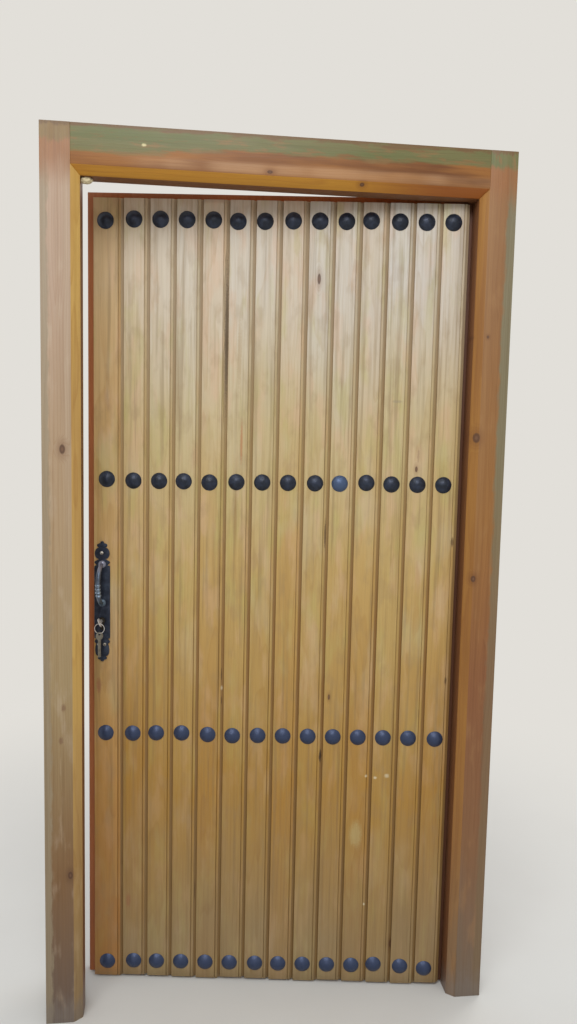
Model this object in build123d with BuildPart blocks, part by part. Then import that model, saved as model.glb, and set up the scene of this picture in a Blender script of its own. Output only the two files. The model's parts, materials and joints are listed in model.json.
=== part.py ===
"""A plank door in its pine frame, standing a little ajar.

Fourteen beaded boards are nailed with domed iron nails to a mortised backing frame, which is
hung on three butt hinges and locked by a mortise dead lock with a pull and a key.

X runs along the wall, with the hinges at +X. Y runs inwards, from the outside face of the
frame, and the leaf opens towards +Y. Z is up. The origin is on the floor, in the middle of
the doorway, in the plane of the frame's outside face. Lengths are in millimetres.
"""

from build123d import *
from math import cos, radians, sin, sqrt
import os

os.makedirs("parts", exist_ok=True)

# Frame
opening_width = 948
opening_height = 2061
jamb_width = 88
head_height = 111
stop_depth = 60
chamfer_width = 20
chamfer_depth = 16
jamb_rebate = 12
head_rebate = 15
head_tenon_length = 40
head_tenon_height = 70
head_tenon_thick = 28
joint_play = 0.2

# Wall anchors, blind holes in the outer faces of the jambs
anchor_radius = 6
anchor_depth = 45
anchor_count = 3
anchor_lowest = 250
anchor_below_top = 282

# Leaf, with the joint between it and the frame
ajar = 7.6
floor_gap = 6
hinge_gap = 3
latch_gap = 4
head_gap = 3
seat_gap = 1
backing_thick = 30
stile_width = 110
rail_height = 110
rail_tenon_length = 50
rail_tenon_height = 70
rail_tenon_thick = 10

# Boards
board_count = 14
board_thick = 18
first_board_width = 76.5
last_board_width = 64.5
boards_margin_latch = 18.5
boards_margin_hinge = 13.5
boards_margin_top = 17
quirk_width = 2
quirk_depth = 2.5
bead_width = 6
groove_width = 8
groove_shallow = 3
groove_deep = 6
tongue_thick = 5
tongue_length = 8
board_gap = 0.4
board_unevenness = 1.2

# Domed nails: three rows set out from the boards' feet and one from their tops
nail_row_foot = 46.5
nail_row_second_rise = 637.5
nail_row_third_rise = 668
nail_row_top_drop = 48
nail_row_slope = 6
nail_head_radius = 21
nail_head_height = 11
nail_facets = 8
nail_shank = 5
nail_bite = 22
nail_play = 0.1

# Hinges
hinge_lowest = 250
hinge_below_top = 243
hinge_length = 100
hinge_plate_width = 27
hinge_plate_thick = 2.5
knuckle_radius = 6
hinge_pin_radius = 3
pin_standoff = 6.5
pin_tip_height = 7
knuckle_gap = 0.4
knuckle_facets = 12
pin_tip_inset = 0.5
pin_play = 0.05
screw_radius = 2
screw_head_radius = 4
screw_length = 24
screw_slot = 0.9
screw_facets = 6
round_facets = 8
screw_taper = 45

# Lock
backset = 40
key_height = 989
bolt_rise = 33
bolt_height = 28
bolt_thick = 9
bolt_length = 56
bolt_play = 0.3
bolt_throw = 16
bolt_leg_thick = 4.3
bolt_leg_width = 14
case_height = 120
case_depth = 68
case_thick = 14
case_wall = 1.5
case_below_key = 42
case_guide_length = 18
case_guide_height = 4
faceplate_height = 150
faceplate_width = 22
faceplate_thick = 3
strike_height = 90
strike_thick = 2.5
strike_pocket = 24
strike_play = 1.5
barrel_radius = 8.5
barrel_drop = 24.5
barrel_web_radius = 5
barrel_proud = 2
barrel_gap_width = 10
barrel_gap_drop = 12
barrel_screw_radius = 2.4
plug_radius = 6.5
cam_arm_thick = 4
cam_arm_radius = 3.4
cam_pin_radius = 2.5
cam_pin_play = 0.5
cam_angle = 45
recess_play = 1

# Plates and pulls
plate_thick = 3
plate_half_width = 20.5
plate_rise = 50
plate_half_height = 158.5
plate_side_top = 89
plate_side_bottom = -98
plate_neck_half_width = 9.5
plate_screw_high = 127.6
plate_screw_low = 113.5
plate_screw_spread = 7.5
plate_screw_length = 20
plate_screw_radius = 4.5
plate_screw_height = 2.6
plate_screw_taper = 35
pull_top = 98
pull_bottom = -3
pull_standoff = 45
pull_boss_radius = 9.5
pull_boss_height = 5
pull_boss_taper = 20
pull_bar_radius = 5
pull_rib_radius = 6.6
pull_rib_count = 4
pull_rib_width = 5
pull_rib_pitch = 9.5
pull_rib_drop = 11
pull_bends = 14
rivet_radius = 3
rivet_head_radius = 5
rivet_head_height = 2

# Keys and their ring
key_lean = 22.5
key_thick = 2.2
key_blade_width = 8
key_blade_length = 27
key_bow_radius = 11.5
key_bow_centre = 22
key_hole_radius = 3.5
key_hole_centre = 27
key_play = 0.15
key_notch_count = 5
key_notch_pitch = 4.5
key_notch_depth = 1.1
ring_radius = 12.6
ring_wire = 1.6
ring_facets = 6
ring_rest = 0.9
spare_bow_radius = 10.5
spare_hole_offset = 5
spare_blade_length = 45
spare_turn = 45

# Lines that the pieces share, on the closed door
half_opening = opening_width / 2
half_frame = half_opening + jamb_width
half_rebate = half_opening + jamb_rebate
shoulder = half_opening + chamfer_width
frame_height = opening_height + head_height
frame_depth = stop_depth + seat_gap + backing_thick
soffit = opening_height + head_rebate
pin_x = half_rebate - hinge_gap / 2
pin_y = frame_depth + pin_standoff
leaf_left = -half_rebate + latch_gap
leaf_right = half_rebate - hinge_gap
leaf_top = soffit - head_gap
backing_front = stop_depth + seat_gap
backing_middle = backing_front + backing_thick / 2
boards_front = backing_front - board_thick
boards_left = leaf_left + boards_margin_latch
boards_right = leaf_right - boards_margin_hinge
boards_top = leaf_top - boards_margin_top
boards_width = boards_right - boards_left
board_pitch = (boards_width - first_board_width - last_board_width) / (board_count - 2)
board_flat = board_pitch - quirk_width - bead_width - groove_width
nail_rows = [
    floor_gap + nail_row_foot,
    floor_gap + nail_row_foot + nail_row_second_rise,
    floor_gap + nail_row_foot + nail_row_second_rise + nail_row_third_rise,
    boards_top - nail_row_top_drop,
]
hinge_highest = leaf_top - hinge_below_top
hinge_heights = [hinge_lowest, (hinge_lowest + hinge_highest) / 2, hinge_highest]
anchor_spacing = (frame_height - anchor_below_top - anchor_lowest) / (anchor_count - 1)
key_x = leaf_left + backset
bolt_z = key_height + bolt_rise
case_middle = key_height - case_below_key + case_height / 2
plate_centre_height = key_height + plate_rise
barrel_front = boards_front - plate_thick - barrel_proud
barrel_back = frame_depth + plate_thick + barrel_proud
cam_radius = bolt_throw / (2 * sin(radians(cam_angle)))
knuckle_length = hinge_length / 3

# The leaf's own axes, turned about the hinge pins. On these planes the numbers are those
# of the closed door.
pin_plane = Plane(origin=(pin_x, pin_y, 0), x_dir=(cos(radians(ajar)), -sin(radians(ajar)), 0))
leaf_axes = Plane(origin=pin_plane.from_local_coords((-pin_x, -pin_y, 0)), x_dir=pin_plane.x_dir)


def level(height):
    """A horizontal plane of the leaf."""
    return leaf_axes.offset(height)


def facing(depth):
    """An upright plane of the leaf that looks outwards, at this depth from the outside face."""
    origin = leaf_axes.from_local_coords((0, depth, 0))
    return Plane(origin=origin, x_dir=leaf_axes.x_dir, z_dir=-leaf_axes.y_dir)


def screw_bore():
    """Outline of a screw's hole."""
    RegularPolygon(screw_radius + nail_play, screw_facets)


def save(piece, name):
    """Label a finished piece and write it to its file."""
    piece.part.label = name
    export_step(piece.part, f"parts/{name}.step")


# Frame: two jambs at full height, with the head tenoned between them and the chamfers mitred

tenon_middle = (soffit + frame_height) / 2
tenon_front = (stop_depth - head_tenon_thick) / 2
anchor_heights = [anchor_lowest + anchor_spacing * step for step in range(anchor_count)]

for side, name in ((-1, "latch_jamb"), (1, "hinge_jamb")):
    with BuildPart() as jamb:
        with BuildSketch():
            with BuildLine():
                Polyline(
                    (side * half_opening, chamfer_depth),
                    (side * half_opening, stop_depth),
                    (side * half_rebate, stop_depth),
                    (side * half_rebate, frame_depth),
                    (side * half_frame, frame_depth),
                    (side * half_frame, 0),
                    (side * shoulder, 0),
                    close=True,
                )
            make_face()
        extrude(amount=frame_height)
        with BuildSketch(Plane.XZ):
            with BuildLine():
                Polyline(
                    (side * half_opening, opening_height),
                    (side * shoulder, opening_height + chamfer_width),
                    (side * shoulder, frame_height),
                    (side * half_opening, frame_height),
                    close=True,
                )
            make_face()
        extrude(amount=-frame_depth, mode=Mode.SUBTRACT)
        with BuildSketch(Plane.XZ.offset(joint_play - tenon_front)):
            with Locations((side * (shoulder + head_tenon_length / 2), tenon_middle)):
                Rectangle(
                    head_tenon_length + 2 * joint_play,
                    head_tenon_height + 2 * joint_play,
                )
        extrude(amount=-head_tenon_thick - 2 * joint_play, mode=Mode.SUBTRACT)
        with BuildSketch(Plane.YZ.offset(side * half_frame)):
            with Locations(*[(frame_depth / 2, height) for height in anchor_heights]):
                Circle(anchor_radius)
        extrude(amount=-side * anchor_depth, mode=Mode.SUBTRACT)
        if side > 0:
            with BuildSketch(Plane.YZ.offset(half_rebate)):
                for height in hinge_heights:
                    with Locations((frame_depth - hinge_plate_width / 2, height)):
                        Rectangle(hinge_plate_width, hinge_length)
            extrude(amount=hinge_plate_thick, mode=Mode.SUBTRACT)
            with BuildSketch(Plane.YZ.offset(half_rebate + hinge_plate_thick)):
                for height in hinge_heights:
                    with Locations((frame_depth - hinge_plate_width / 2, height)):
                        with GridLocations(hinge_plate_width / 2, hinge_length / 2, 2, 2):
                            screw_bore()
            extrude(amount=screw_length, mode=Mode.SUBTRACT)
        else:
            with BuildSketch(Plane.YZ.offset(-half_rebate)):
                with Locations((backing_middle, bolt_z)):
                    Rectangle(faceplate_width, strike_height)
            extrude(amount=-strike_thick, mode=Mode.SUBTRACT)
            with BuildSketch(Plane.YZ.offset(-half_rebate - strike_thick)):
                with Locations((backing_middle, bolt_z)):
                    Rectangle(bolt_thick + 2 * strike_play, bolt_height + 2 * strike_play)
            extrude(amount=-strike_pocket, mode=Mode.SUBTRACT)
            with BuildSketch(Plane.YZ.offset(-half_rebate - strike_thick)):
                with Locations((backing_middle, bolt_z)):
                    with GridLocations(0, strike_height - 4 * screw_head_radius, 1, 2):
                        screw_bore()
            extrude(amount=-screw_length, mode=Mode.SUBTRACT)
    save(jamb, name)

with BuildPart() as frame_head:
    with BuildSketch(Plane.YZ.offset(-shoulder)):
        with BuildLine():
            Polyline(
                (chamfer_depth, opening_height),
                (stop_depth, opening_height),
                (stop_depth, soffit),
                (frame_depth, soffit),
                (frame_depth, frame_height),
                (0, frame_height),
                (0, opening_height + chamfer_width),
                close=True,
            )
        make_face()
    extrude(amount=2 * shoulder)
    with BuildSketch(Plane.XZ):
        for side in (-1, 1):
            with BuildLine():
                Polyline(
                    (side * half_opening, opening_height),
                    (side * shoulder, opening_height + chamfer_width),
                    (side * shoulder, opening_height),
                    close=True,
                )
            make_face()
    extrude(amount=-frame_depth, mode=Mode.SUBTRACT)
    with BuildSketch(Plane.XZ.offset(-tenon_front)):
        with Locations((0, tenon_middle)):
            Rectangle(2 * (shoulder + head_tenon_length), head_tenon_height)
    extrude(amount=-head_tenon_thick)
save(frame_head, "frame_head")

# Backing frame of the leaf: two stiles and four tenoned rails behind the boards

stile_inner_left = leaf_left + stile_width
stile_inner_right = leaf_right - stile_width
rail_bottoms = [
    floor_gap,
    nail_rows[1] - rail_height / 2,
    nail_rows[2] - rail_height / 2,
    leaf_top - rail_height,
]
tenon_face = backing_middle - rail_tenon_thick / 2


def board_start(index):
    """Left edge of a board, counted from the latch side."""
    return boards_left + (first_board_width + board_pitch * (index - 1) if index else 0)


def board_middle(index):
    """Middle of a board's flat face."""
    flat = board_flat if index else first_board_width - board_pitch + board_flat
    return board_start(index) + flat / 2


# Nails that were driven well off their line, as row, board: sideways, up
nail_drift = {
    (3, 5): (-5, -3),
    (3, 6): (-4, -2),
    (3, 10): (-5, 2),
    (3, 0): (0, -4),
    (2, 0): (3, 3),
    (2, 3): (-3, 0),
    (2, 4): (-3, -2),
    (2, 8): (3, 0),
    (2, 10): (2, 3),
    (1, 2): (-4, 2),
    (1, 3): (-3, 3),
    (1, 5): (-1, -2),
    (1, 13): (4, -1),
    (0, 0): (4, -3),
    (0, 1): (4, 0),
    (0, 6): (3, 0),
    (0, 11): (-6, 4),
    (0, 13): (-1, -5),
}


def nail_places(board):
    """Where the nails of one board are, from the lowest row up."""
    places = []
    for row, height in enumerate(nail_rows):
        sideways, up = nail_drift.get((row, board), (0, 0))
        slope = nail_row_slope * (board / (board_count - 1) - 0.5)
        places.append((board_middle(board) + sideways, height + slope + up))
    return places


shank_hole = nail_shank + 2 * nail_play
nail_places_all = [place for board in range(board_count) for place in nail_places(board)]


def barrel_outline(play, x=key_x):
    """Outline of the lock barrel, widened by a play: a round body on a narrow web."""
    with Locations((x, key_height)):
        Circle(barrel_radius + play)
    with Locations((x, key_height - barrel_drop + barrel_web_radius)):
        Circle(barrel_web_radius + play)
    with Locations((x, key_height - (barrel_drop - barrel_web_radius) / 2)):
        Rectangle(2 * (barrel_web_radius + play), barrel_drop - barrel_web_radius)


def pull_places(x):
    """The two ends of a pull on its plate."""
    return [(x, plate_centre_height + pull_top), (x, plate_centre_height + pull_bottom)]


def plate_screw_places(x):
    """One screw in the finial and a pair in the lower lobe of a plate."""
    low = plate_centre_height - plate_screw_low
    return [
        (x, plate_centre_height + plate_screw_high),
        (x - plate_screw_spread, low),
        (x + plate_screw_spread, low),
    ]


for side, name in ((-1, "latch_stile"), (1, "hinge_stile")):
    middle = leaf_left + stile_width / 2 if side < 0 else leaf_right - stile_width / 2
    outer_board = 0 if side < 0 else board_count - 1
    inner_edge = stile_inner_left if side < 0 else stile_inner_right
    with BuildPart() as stile:
        with BuildSketch(level(floor_gap)):
            with Locations((middle, backing_middle)):
                Rectangle(stile_width, backing_thick)
        extrude(amount=leaf_top - floor_gap)
        with BuildSketch(facing(tenon_face - joint_play)):
            for bottom in rail_bottoms:
                with Locations((inner_edge, bottom + rail_height / 2)):
                    Rectangle(
                        2 * (rail_tenon_length + joint_play),
                        rail_tenon_height + 2 * joint_play,
                    )
        extrude(amount=-rail_tenon_thick - 2 * joint_play, mode=Mode.SUBTRACT)
        with BuildSketch(facing(backing_front)):
            with Locations(*nail_places(outer_board)):
                Rectangle(shank_hole, shank_hole)
        extrude(amount=-nail_bite - nail_play, mode=Mode.SUBTRACT)
        if side > 0:
            with BuildSketch(facing(frame_depth)):
                for height in hinge_heights:
                    with Locations((leaf_right - hinge_plate_thick / 2, height)):
                        Rectangle(hinge_plate_thick, hinge_length)
            extrude(amount=hinge_plate_width, mode=Mode.SUBTRACT)
            screw_origin = leaf_axes.from_local_coords((leaf_right - hinge_plate_thick, 0, 0))
            with BuildSketch(Plane(screw_origin, x_dir=leaf_axes.y_dir, z_dir=leaf_axes.x_dir)):
                for height in hinge_heights:
                    with Locations((frame_depth - hinge_plate_width / 2, height)):
                        with GridLocations(hinge_plate_width / 2, hinge_length / 2, 2, 2):
                            screw_bore()
            extrude(amount=-screw_length, mode=Mode.SUBTRACT)
        else:
            with BuildSketch(facing(backing_middle - faceplate_width / 2)):
                with Locations((leaf_left + faceplate_thick / 2, case_middle)):
                    Rectangle(faceplate_thick, faceplate_height)
            extrude(amount=-faceplate_width, mode=Mode.SUBTRACT)
            with BuildSketch(facing(backing_middle - case_thick / 2 - joint_play)):
                with Locations((leaf_left, key_height - case_below_key - joint_play)):
                    Rectangle(
                        faceplate_thick + case_depth + joint_play,
                        case_height + 2 * joint_play,
                        align=(Align.MIN, Align.MIN),
                    )
            extrude(amount=-case_thick - 2 * joint_play, mode=Mode.SUBTRACT)
            with BuildSketch(facing(backing_front)):
                barrel_outline(recess_play)
            extrude(amount=-backing_thick, mode=Mode.SUBTRACT)
            screw_origin = leaf_axes.from_local_coords((leaf_left + faceplate_thick, 0, 0))
            with BuildSketch(Plane(screw_origin, x_dir=leaf_axes.y_dir, z_dir=leaf_axes.x_dir)):
                with Locations((backing_middle, case_middle)):
                    with GridLocations(0, faceplate_height - 3 * screw_head_radius, 1, 2):
                        screw_bore()
            extrude(amount=screw_length, mode=Mode.SUBTRACT)
            with BuildSketch(facing(frame_depth)):
                with Locations(*pull_places(key_x)):
                    RegularPolygon(rivet_head_radius + recess_play, round_facets)
            extrude(amount=rivet_head_height + recess_play, mode=Mode.SUBTRACT)
            with BuildSketch(facing(frame_depth)):
                with Locations(*plate_screw_places(key_x)):
                    screw_bore()
            extrude(amount=plate_screw_length, mode=Mode.SUBTRACT)
            with BuildSketch(facing(boards_front)):
                with Locations(*plate_screw_places(key_x)):
                    screw_bore()
            extrude(amount=-plate_screw_length, mode=Mode.SUBTRACT)
    save(stile, name)

for index, bottom in enumerate(rail_bottoms):
    middle = (stile_inner_left + stile_inner_right) / 2
    with BuildPart() as rail:
        with BuildSketch(facing(backing_front)):
            with Locations((middle, bottom + rail_height / 2)):
                Rectangle(stile_inner_right - stile_inner_left, rail_height)
        extrude(amount=-backing_thick)
        with BuildSketch(facing(tenon_face)):
            with Locations((middle, bottom + rail_height / 2)):
                Rectangle(
                    stile_inner_right - stile_inner_left + 2 * rail_tenon_length,
                    rail_tenon_height,
                )
        extrude(amount=-rail_tenon_thick)
        with BuildSketch(facing(backing_front)):
            inner_boards = range(1, board_count - 1)
            with Locations(*[nail_places(board)[index] for board in inner_boards]):
                Rectangle(shank_hole, shank_hole)
        extrude(amount=-nail_bite - nail_play, mode=Mode.SUBTRACT)
    save(rail, f"rail_{index + 1}")

# Boards: a flat face, a quirk and a bead, and a sunk strip that runs out into the tongue

for board in range(board_count):
    start = board_start(board)
    bead_start = board_middle(board) * 2 - start + quirk_width
    bead_end = bead_start + bead_width
    strip_end = min(bead_end + groove_width, boards_right)
    is_last = board == board_count - 1
    front = boards_front
    tongue_front = front + groove_deep + (board_thick - groove_deep - tongue_thick) / 2
    uneven = board_unevenness * ((board * 3) % 4)
    with BuildPart() as plank:
        with BuildSketch(level(floor_gap + uneven)):
            with BuildLine():
                Polyline(
                    (start, front),
                    (bead_start - quirk_width, front),
                    (bead_start - quirk_width / 2, front + quirk_depth),
                    (bead_start, front + quirk_depth / 2),
                )
                ThreePointArc(
                    (bead_start, front + quirk_depth / 2),
                    ((bead_start + bead_end) / 2, front),
                    (bead_end, front + quirk_depth / 2),
                )
                Polyline(
                    (bead_end, front + quirk_depth / 2),
                    (bead_end, front + groove_shallow),
                    (strip_end, front + groove_deep),
                    (strip_end, backing_front),
                    (start, backing_front),
                    (start, front),
                )
            make_face()
            if not is_last:
                with Locations((strip_end, tongue_front)):
                    Rectangle(tongue_length, tongue_thick, align=(Align.MIN, Align.MIN))
            if board:
                with Locations((start, tongue_front - board_gap)):
                    Rectangle(
                        tongue_length + board_gap,
                        tongue_thick + 2 * board_gap,
                        align=(Align.MIN, Align.MIN),
                        mode=Mode.SUBTRACT,
                    )
        extrude(amount=boards_top - floor_gap - uneven)
        with BuildSketch(facing(boards_front)):
            with Locations(*nail_places(board)):
                Rectangle(shank_hole, shank_hole)
        extrude(amount=-board_thick, mode=Mode.SUBTRACT)
        if board == 0:
            with BuildSketch(facing(boards_front)):
                barrel_outline(recess_play)
                with Locations(*plate_screw_places(key_x)):
                    screw_bore()
            extrude(amount=-board_thick, mode=Mode.SUBTRACT)
            with BuildSketch(facing(boards_front)):
                with Locations(*pull_places(key_x)):
                    RegularPolygon(rivet_head_radius + recess_play, round_facets)
            extrude(amount=-rivet_head_height - recess_play, mode=Mode.SUBTRACT)
    save(plank, f"board_{board + 1:02}")

dome_radius = (nail_head_radius**2 + nail_head_height**2) / (2 * nail_head_height)

with BuildPart() as nail:
    for share in (1, 0.75, 0.35):
        radius = nail_head_radius * share
        rise = sqrt(dome_radius**2 - radius**2) - dome_radius + nail_head_height
        with BuildSketch(Plane.XY.offset(rise)):
            RegularPolygon(radius, nail_facets)
    loft(ruled=True)
    with BuildSketch():
        Rectangle(nail_shank, nail_shank)
    extrude(amount=-board_thick - nail_bite)

with BuildPart(facing(boards_front)) as nails:
    with Locations(*nail_places_all):
        add(nail.part)
save(nails, "nails")

# Screws, drawn with the top of the head at the origin and the point downwards

with BuildPart() as flat_screw:
    with BuildSketch():
        RegularPolygon(screw_head_radius, screw_facets)
    extrude(amount=screw_radius - screw_head_radius, taper=screw_taper)
    with BuildSketch():
        RegularPolygon(screw_radius, screw_facets)
    extrude(amount=-screw_length)
    with BuildSketch():
        Rectangle(2 * screw_head_radius, screw_slot)
    extrude(amount=-screw_slot, mode=Mode.SUBTRACT)

with BuildPart() as round_screw:
    with BuildSketch():
        RegularPolygon(plate_screw_radius, screw_facets)
    extrude(amount=plate_screw_height, taper=plate_screw_taper)
    with BuildSketch():
        RegularPolygon(screw_radius, screw_facets)
    extrude(amount=plate_thick - plate_screw_length)
    with BuildSketch(Plane.XY.offset(plate_screw_height)):
        Rectangle(2 * plate_screw_radius, screw_slot)
    extrude(amount=-screw_slot, mode=Mode.SUBTRACT)

with BuildPart() as screw_seat:
    with BuildSketch():
        RegularPolygon(screw_head_radius + nail_play, screw_facets)
    extrude(amount=screw_radius - screw_head_radius, taper=screw_taper)
    with BuildSketch():
        screw_bore()
    extrude(amount=-screw_length)

# Butt hinges: three knuckles each, two of them on the jamb with the pin

for number, height in enumerate(hinge_heights, start=1):
    bottom = height - hinge_length / 2
    outer_knuckles = [(bottom, knuckle_length), (bottom + 2 * knuckle_length, knuckle_length)]
    middle_knuckle = [(bottom + knuckle_length, knuckle_length)]
    for side, own, other, name in (
        (1, outer_knuckles, middle_knuckle, "hinge_frame_plate"),
        (-1, middle_knuckle, outer_knuckles, "hinge_leaf_plate"),
    ):
        axes = Plane.XY if side > 0 else leaf_axes
        plate_x = pin_x + side * (hinge_gap + hinge_plate_thick) / 2
        with BuildPart() as hinge_plate:
            with BuildSketch(axes.offset(bottom)):
                with Locations((plate_x, frame_depth - hinge_plate_width)):
                    Rectangle(
                        hinge_plate_thick,
                        hinge_plate_width + pin_standoff,
                        align=(Align.CENTER, Align.MIN),
                    )
            extrude(amount=hinge_length)
            for start, length in own:
                with BuildSketch(axes.offset(start + knuckle_gap / 2)):
                    with Locations((pin_x, pin_y)):
                        RegularPolygon(knuckle_radius, knuckle_facets)
                extrude(amount=length - knuckle_gap)
            for start, length in other:
                with BuildSketch(axes.offset(start - knuckle_gap / 2)):
                    with Locations((pin_x, pin_y)):
                        RegularPolygon(knuckle_radius + knuckle_gap, knuckle_facets)
                extrude(amount=length + knuckle_gap, mode=Mode.SUBTRACT)
            with BuildSketch(axes.offset(bottom)):
                with Locations((pin_x, pin_y)):
                    Circle(hinge_pin_radius + pin_play)
            extrude(amount=hinge_length, mode=Mode.SUBTRACT)
            origin = axes.from_local_coords((pin_x + side * hinge_gap / 2, 0, 0))
            outward = axes.x_dir * -side
            with Locations(Plane(origin, x_dir=axes.y_dir, z_dir=outward)):
                with Locations((frame_depth - hinge_plate_width / 2, -side * height)):
                    with GridLocations(hinge_plate_width / 2, hinge_length / 2, 2, 2):
                        add(screw_seat.part, mode=Mode.SUBTRACT)
        save(hinge_plate, f"{name}_{number}")
    with BuildPart() as hinge_pin:
        with BuildSketch(Plane.XY.offset(bottom - pin_tip_height)):
            with Locations((pin_x, pin_y)):
                RegularPolygon(knuckle_radius - pin_tip_inset, round_facets)
        extrude(amount=pin_tip_height)
        with BuildSketch(Plane.XY.offset(bottom + hinge_length)):
            with Locations((pin_x, pin_y)):
                RegularPolygon(knuckle_radius - pin_tip_inset, round_facets)
        extrude(amount=pin_tip_height)
        with BuildSketch(Plane.XY.offset(bottom)):
            with Locations((pin_x, pin_y)):
                Circle(hinge_pin_radius)
        extrude(amount=hinge_length)
    save(hinge_pin, f"hinge_pin_{number}")

# Screws of the hinges

hinge_screw_depth = frame_depth - hinge_plate_width / 2
frame_screw_plane = Plane((half_rebate, 0, 0), x_dir=(0, 1, 0), z_dir=(-1, 0, 0))
leaf_screw_plane = Plane(
    leaf_axes.from_local_coords((leaf_right, 0, 0)),
    x_dir=leaf_axes.y_dir,
    z_dir=leaf_axes.x_dir,
)

with BuildPart(frame_screw_plane) as hinge_frame_screws:
    with Locations(*[(hinge_screw_depth, -height) for height in hinge_heights]):
        with GridLocations(hinge_plate_width / 2, hinge_length / 2, 2, 2):
            add(flat_screw.part)
save(hinge_frame_screws, "hinge_frame_screws")

with BuildPart(leaf_screw_plane) as hinge_leaf_screws:
    with Locations(*[(hinge_screw_depth, height) for height in hinge_heights]):
        with GridLocations(hinge_plate_width / 2, hinge_length / 2, 2, 2):
            add(flat_screw.part)
save(hinge_leaf_screws, "hinge_leaf_screws")

# Strike in the latch jamb

strike_plane = Plane((-half_rebate, 0, 0), x_dir=(0, 1, 0), z_dir=(1, 0, 0))
strike_screw_places = [
    (backing_middle, bolt_z - strike_height / 2 + 2 * screw_head_radius),
    (backing_middle, bolt_z + strike_height / 2 - 2 * screw_head_radius),
]

with BuildPart() as strike_plate:
    with BuildSketch(strike_plane):
        with Locations((backing_middle, bolt_z)):
            Rectangle(faceplate_width, strike_height)
            Rectangle(
                bolt_thick + 2 * strike_play,
                bolt_height + 2 * strike_play,
                mode=Mode.SUBTRACT,
            )
    extrude(amount=-strike_thick)
    with Locations(strike_plane):
        with Locations(*strike_screw_places):
            add(screw_seat.part, mode=Mode.SUBTRACT)
save(strike_plate, "strike_plate")

with BuildPart(strike_plane) as strike_screws:
    with Locations(*strike_screw_places):
        add(flat_screw.part)
save(strike_screws, "strike_screws")

# Mortise dead lock: case, faceplate, bolt and barrel

case_left = leaf_left + faceplate_thick
case_bottom = key_height - case_below_key
case_front = backing_middle - case_thick / 2
bolt_front = backing_middle - bolt_thick / 2
barrel_screw_height = key_height - barrel_drop + barrel_web_radius
edge_plane = Plane(
    leaf_axes.from_local_coords((leaf_left, 0, 0)),
    x_dir=-leaf_axes.y_dir,
    z_dir=-leaf_axes.x_dir,
)
faceplate_screw_places = [
    (-backing_middle, case_middle - faceplate_height / 2 + 1.5 * screw_head_radius),
    (-backing_middle, case_middle + faceplate_height / 2 - 1.5 * screw_head_radius),
]

with BuildPart() as lock_case:
    with BuildSketch(facing(case_front)):
        with Locations((case_left, case_bottom)):
            Rectangle(case_depth, case_height, align=(Align.MIN, Align.MIN))
    extrude(amount=-case_thick)
    with BuildSketch(facing(case_front + case_wall)):
        with Locations((case_left + case_wall, case_bottom + case_wall)):
            Rectangle(
                case_depth - 2 * case_wall,
                case_height - 2 * case_wall,
                align=(Align.MIN, Align.MIN),
            )
        for side in (-1, 1):
            guide = bolt_z + side * (bolt_height / 2 + bolt_play + case_guide_height / 2)
            with Locations((case_left, guide)):
                Rectangle(
                    case_guide_length,
                    case_guide_height,
                    align=(Align.MIN, Align.CENTER),
                    mode=Mode.SUBTRACT,
                )
    extrude(amount=2 * case_wall - case_thick, mode=Mode.SUBTRACT)
    with BuildSketch(edge_plane):
        with Locations((-backing_middle, bolt_z)):
            Rectangle(bolt_thick + 2 * bolt_play, bolt_height + 2 * bolt_play)
        with Locations((-backing_middle, barrel_screw_height)):
            Circle(barrel_screw_radius + nail_play)
    extrude(amount=-faceplate_thick - 2 * case_wall, mode=Mode.SUBTRACT)
    with BuildSketch(facing(case_front)):
        barrel_outline(joint_play)
    extrude(amount=-case_thick, mode=Mode.SUBTRACT)
save(lock_case, "lock_case")

with BuildPart() as faceplate:
    with BuildSketch(edge_plane):
        with Locations((-backing_middle, case_middle)):
            Rectangle(faceplate_width, faceplate_height)
        with Locations((-backing_middle, bolt_z)):
            Rectangle(
                bolt_thick + 2 * bolt_play,
                bolt_height + 2 * bolt_play,
                mode=Mode.SUBTRACT,
            )
    extrude(amount=-faceplate_thick)
    with Locations(edge_plane):
        with Locations(*faceplate_screw_places):
            add(screw_seat.part, mode=Mode.SUBTRACT)
        with Locations((-backing_middle, barrel_screw_height)):
            CounterSinkHole(
                barrel_screw_radius + nail_play,
                screw_head_radius + nail_play,
                depth=faceplate_thick,
                counter_sink_angle=2 * screw_taper,
            )
save(faceplate, "faceplate")

with BuildPart(edge_plane) as faceplate_screws:
    with Locations(*faceplate_screw_places):
        add(flat_screw.part)
save(faceplate_screws, "faceplate_screws")

with BuildPart() as barrel_screw:
    with BuildSketch(edge_plane):
        with Locations((-backing_middle, barrel_screw_height)):
            Circle(barrel_screw_radius)
    extrude(amount=-backset - barrel_web_radius / 2)
    with Locations(edge_plane):
        with Locations((-backing_middle, barrel_screw_height)):
            Cone(
                barrel_screw_radius,
                screw_head_radius,
                screw_head_radius - barrel_screw_radius,
                align=(Align.CENTER, Align.CENTER, Align.MAX),
            )
save(barrel_screw, "barrel_screw")

with BuildPart() as deadbolt:
    with BuildSketch(facing(bolt_front)):
        with Locations((leaf_left, bolt_z)):
            Rectangle(bolt_length, bolt_height, align=(Align.MIN, Align.CENTER))
    extrude(amount=-bolt_thick)
    with BuildSketch(facing(bolt_front)):
        with Locations((key_x + bolt_throw / 2, key_height + plug_radius + 2 * bolt_play)):
            Rectangle(
                bolt_leg_width,
                bolt_z - key_height - plug_radius,
                align=(Align.CENTER, Align.MIN),
            )
            Rectangle(
                2 * (cam_pin_radius + cam_pin_play),
                cam_radius + cam_pin_radius - plug_radius,
                align=(Align.CENTER, Align.MIN),
                mode=Mode.SUBTRACT,
            )
    extrude(amount=-bolt_leg_thick)
save(deadbolt, "deadbolt")

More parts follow.
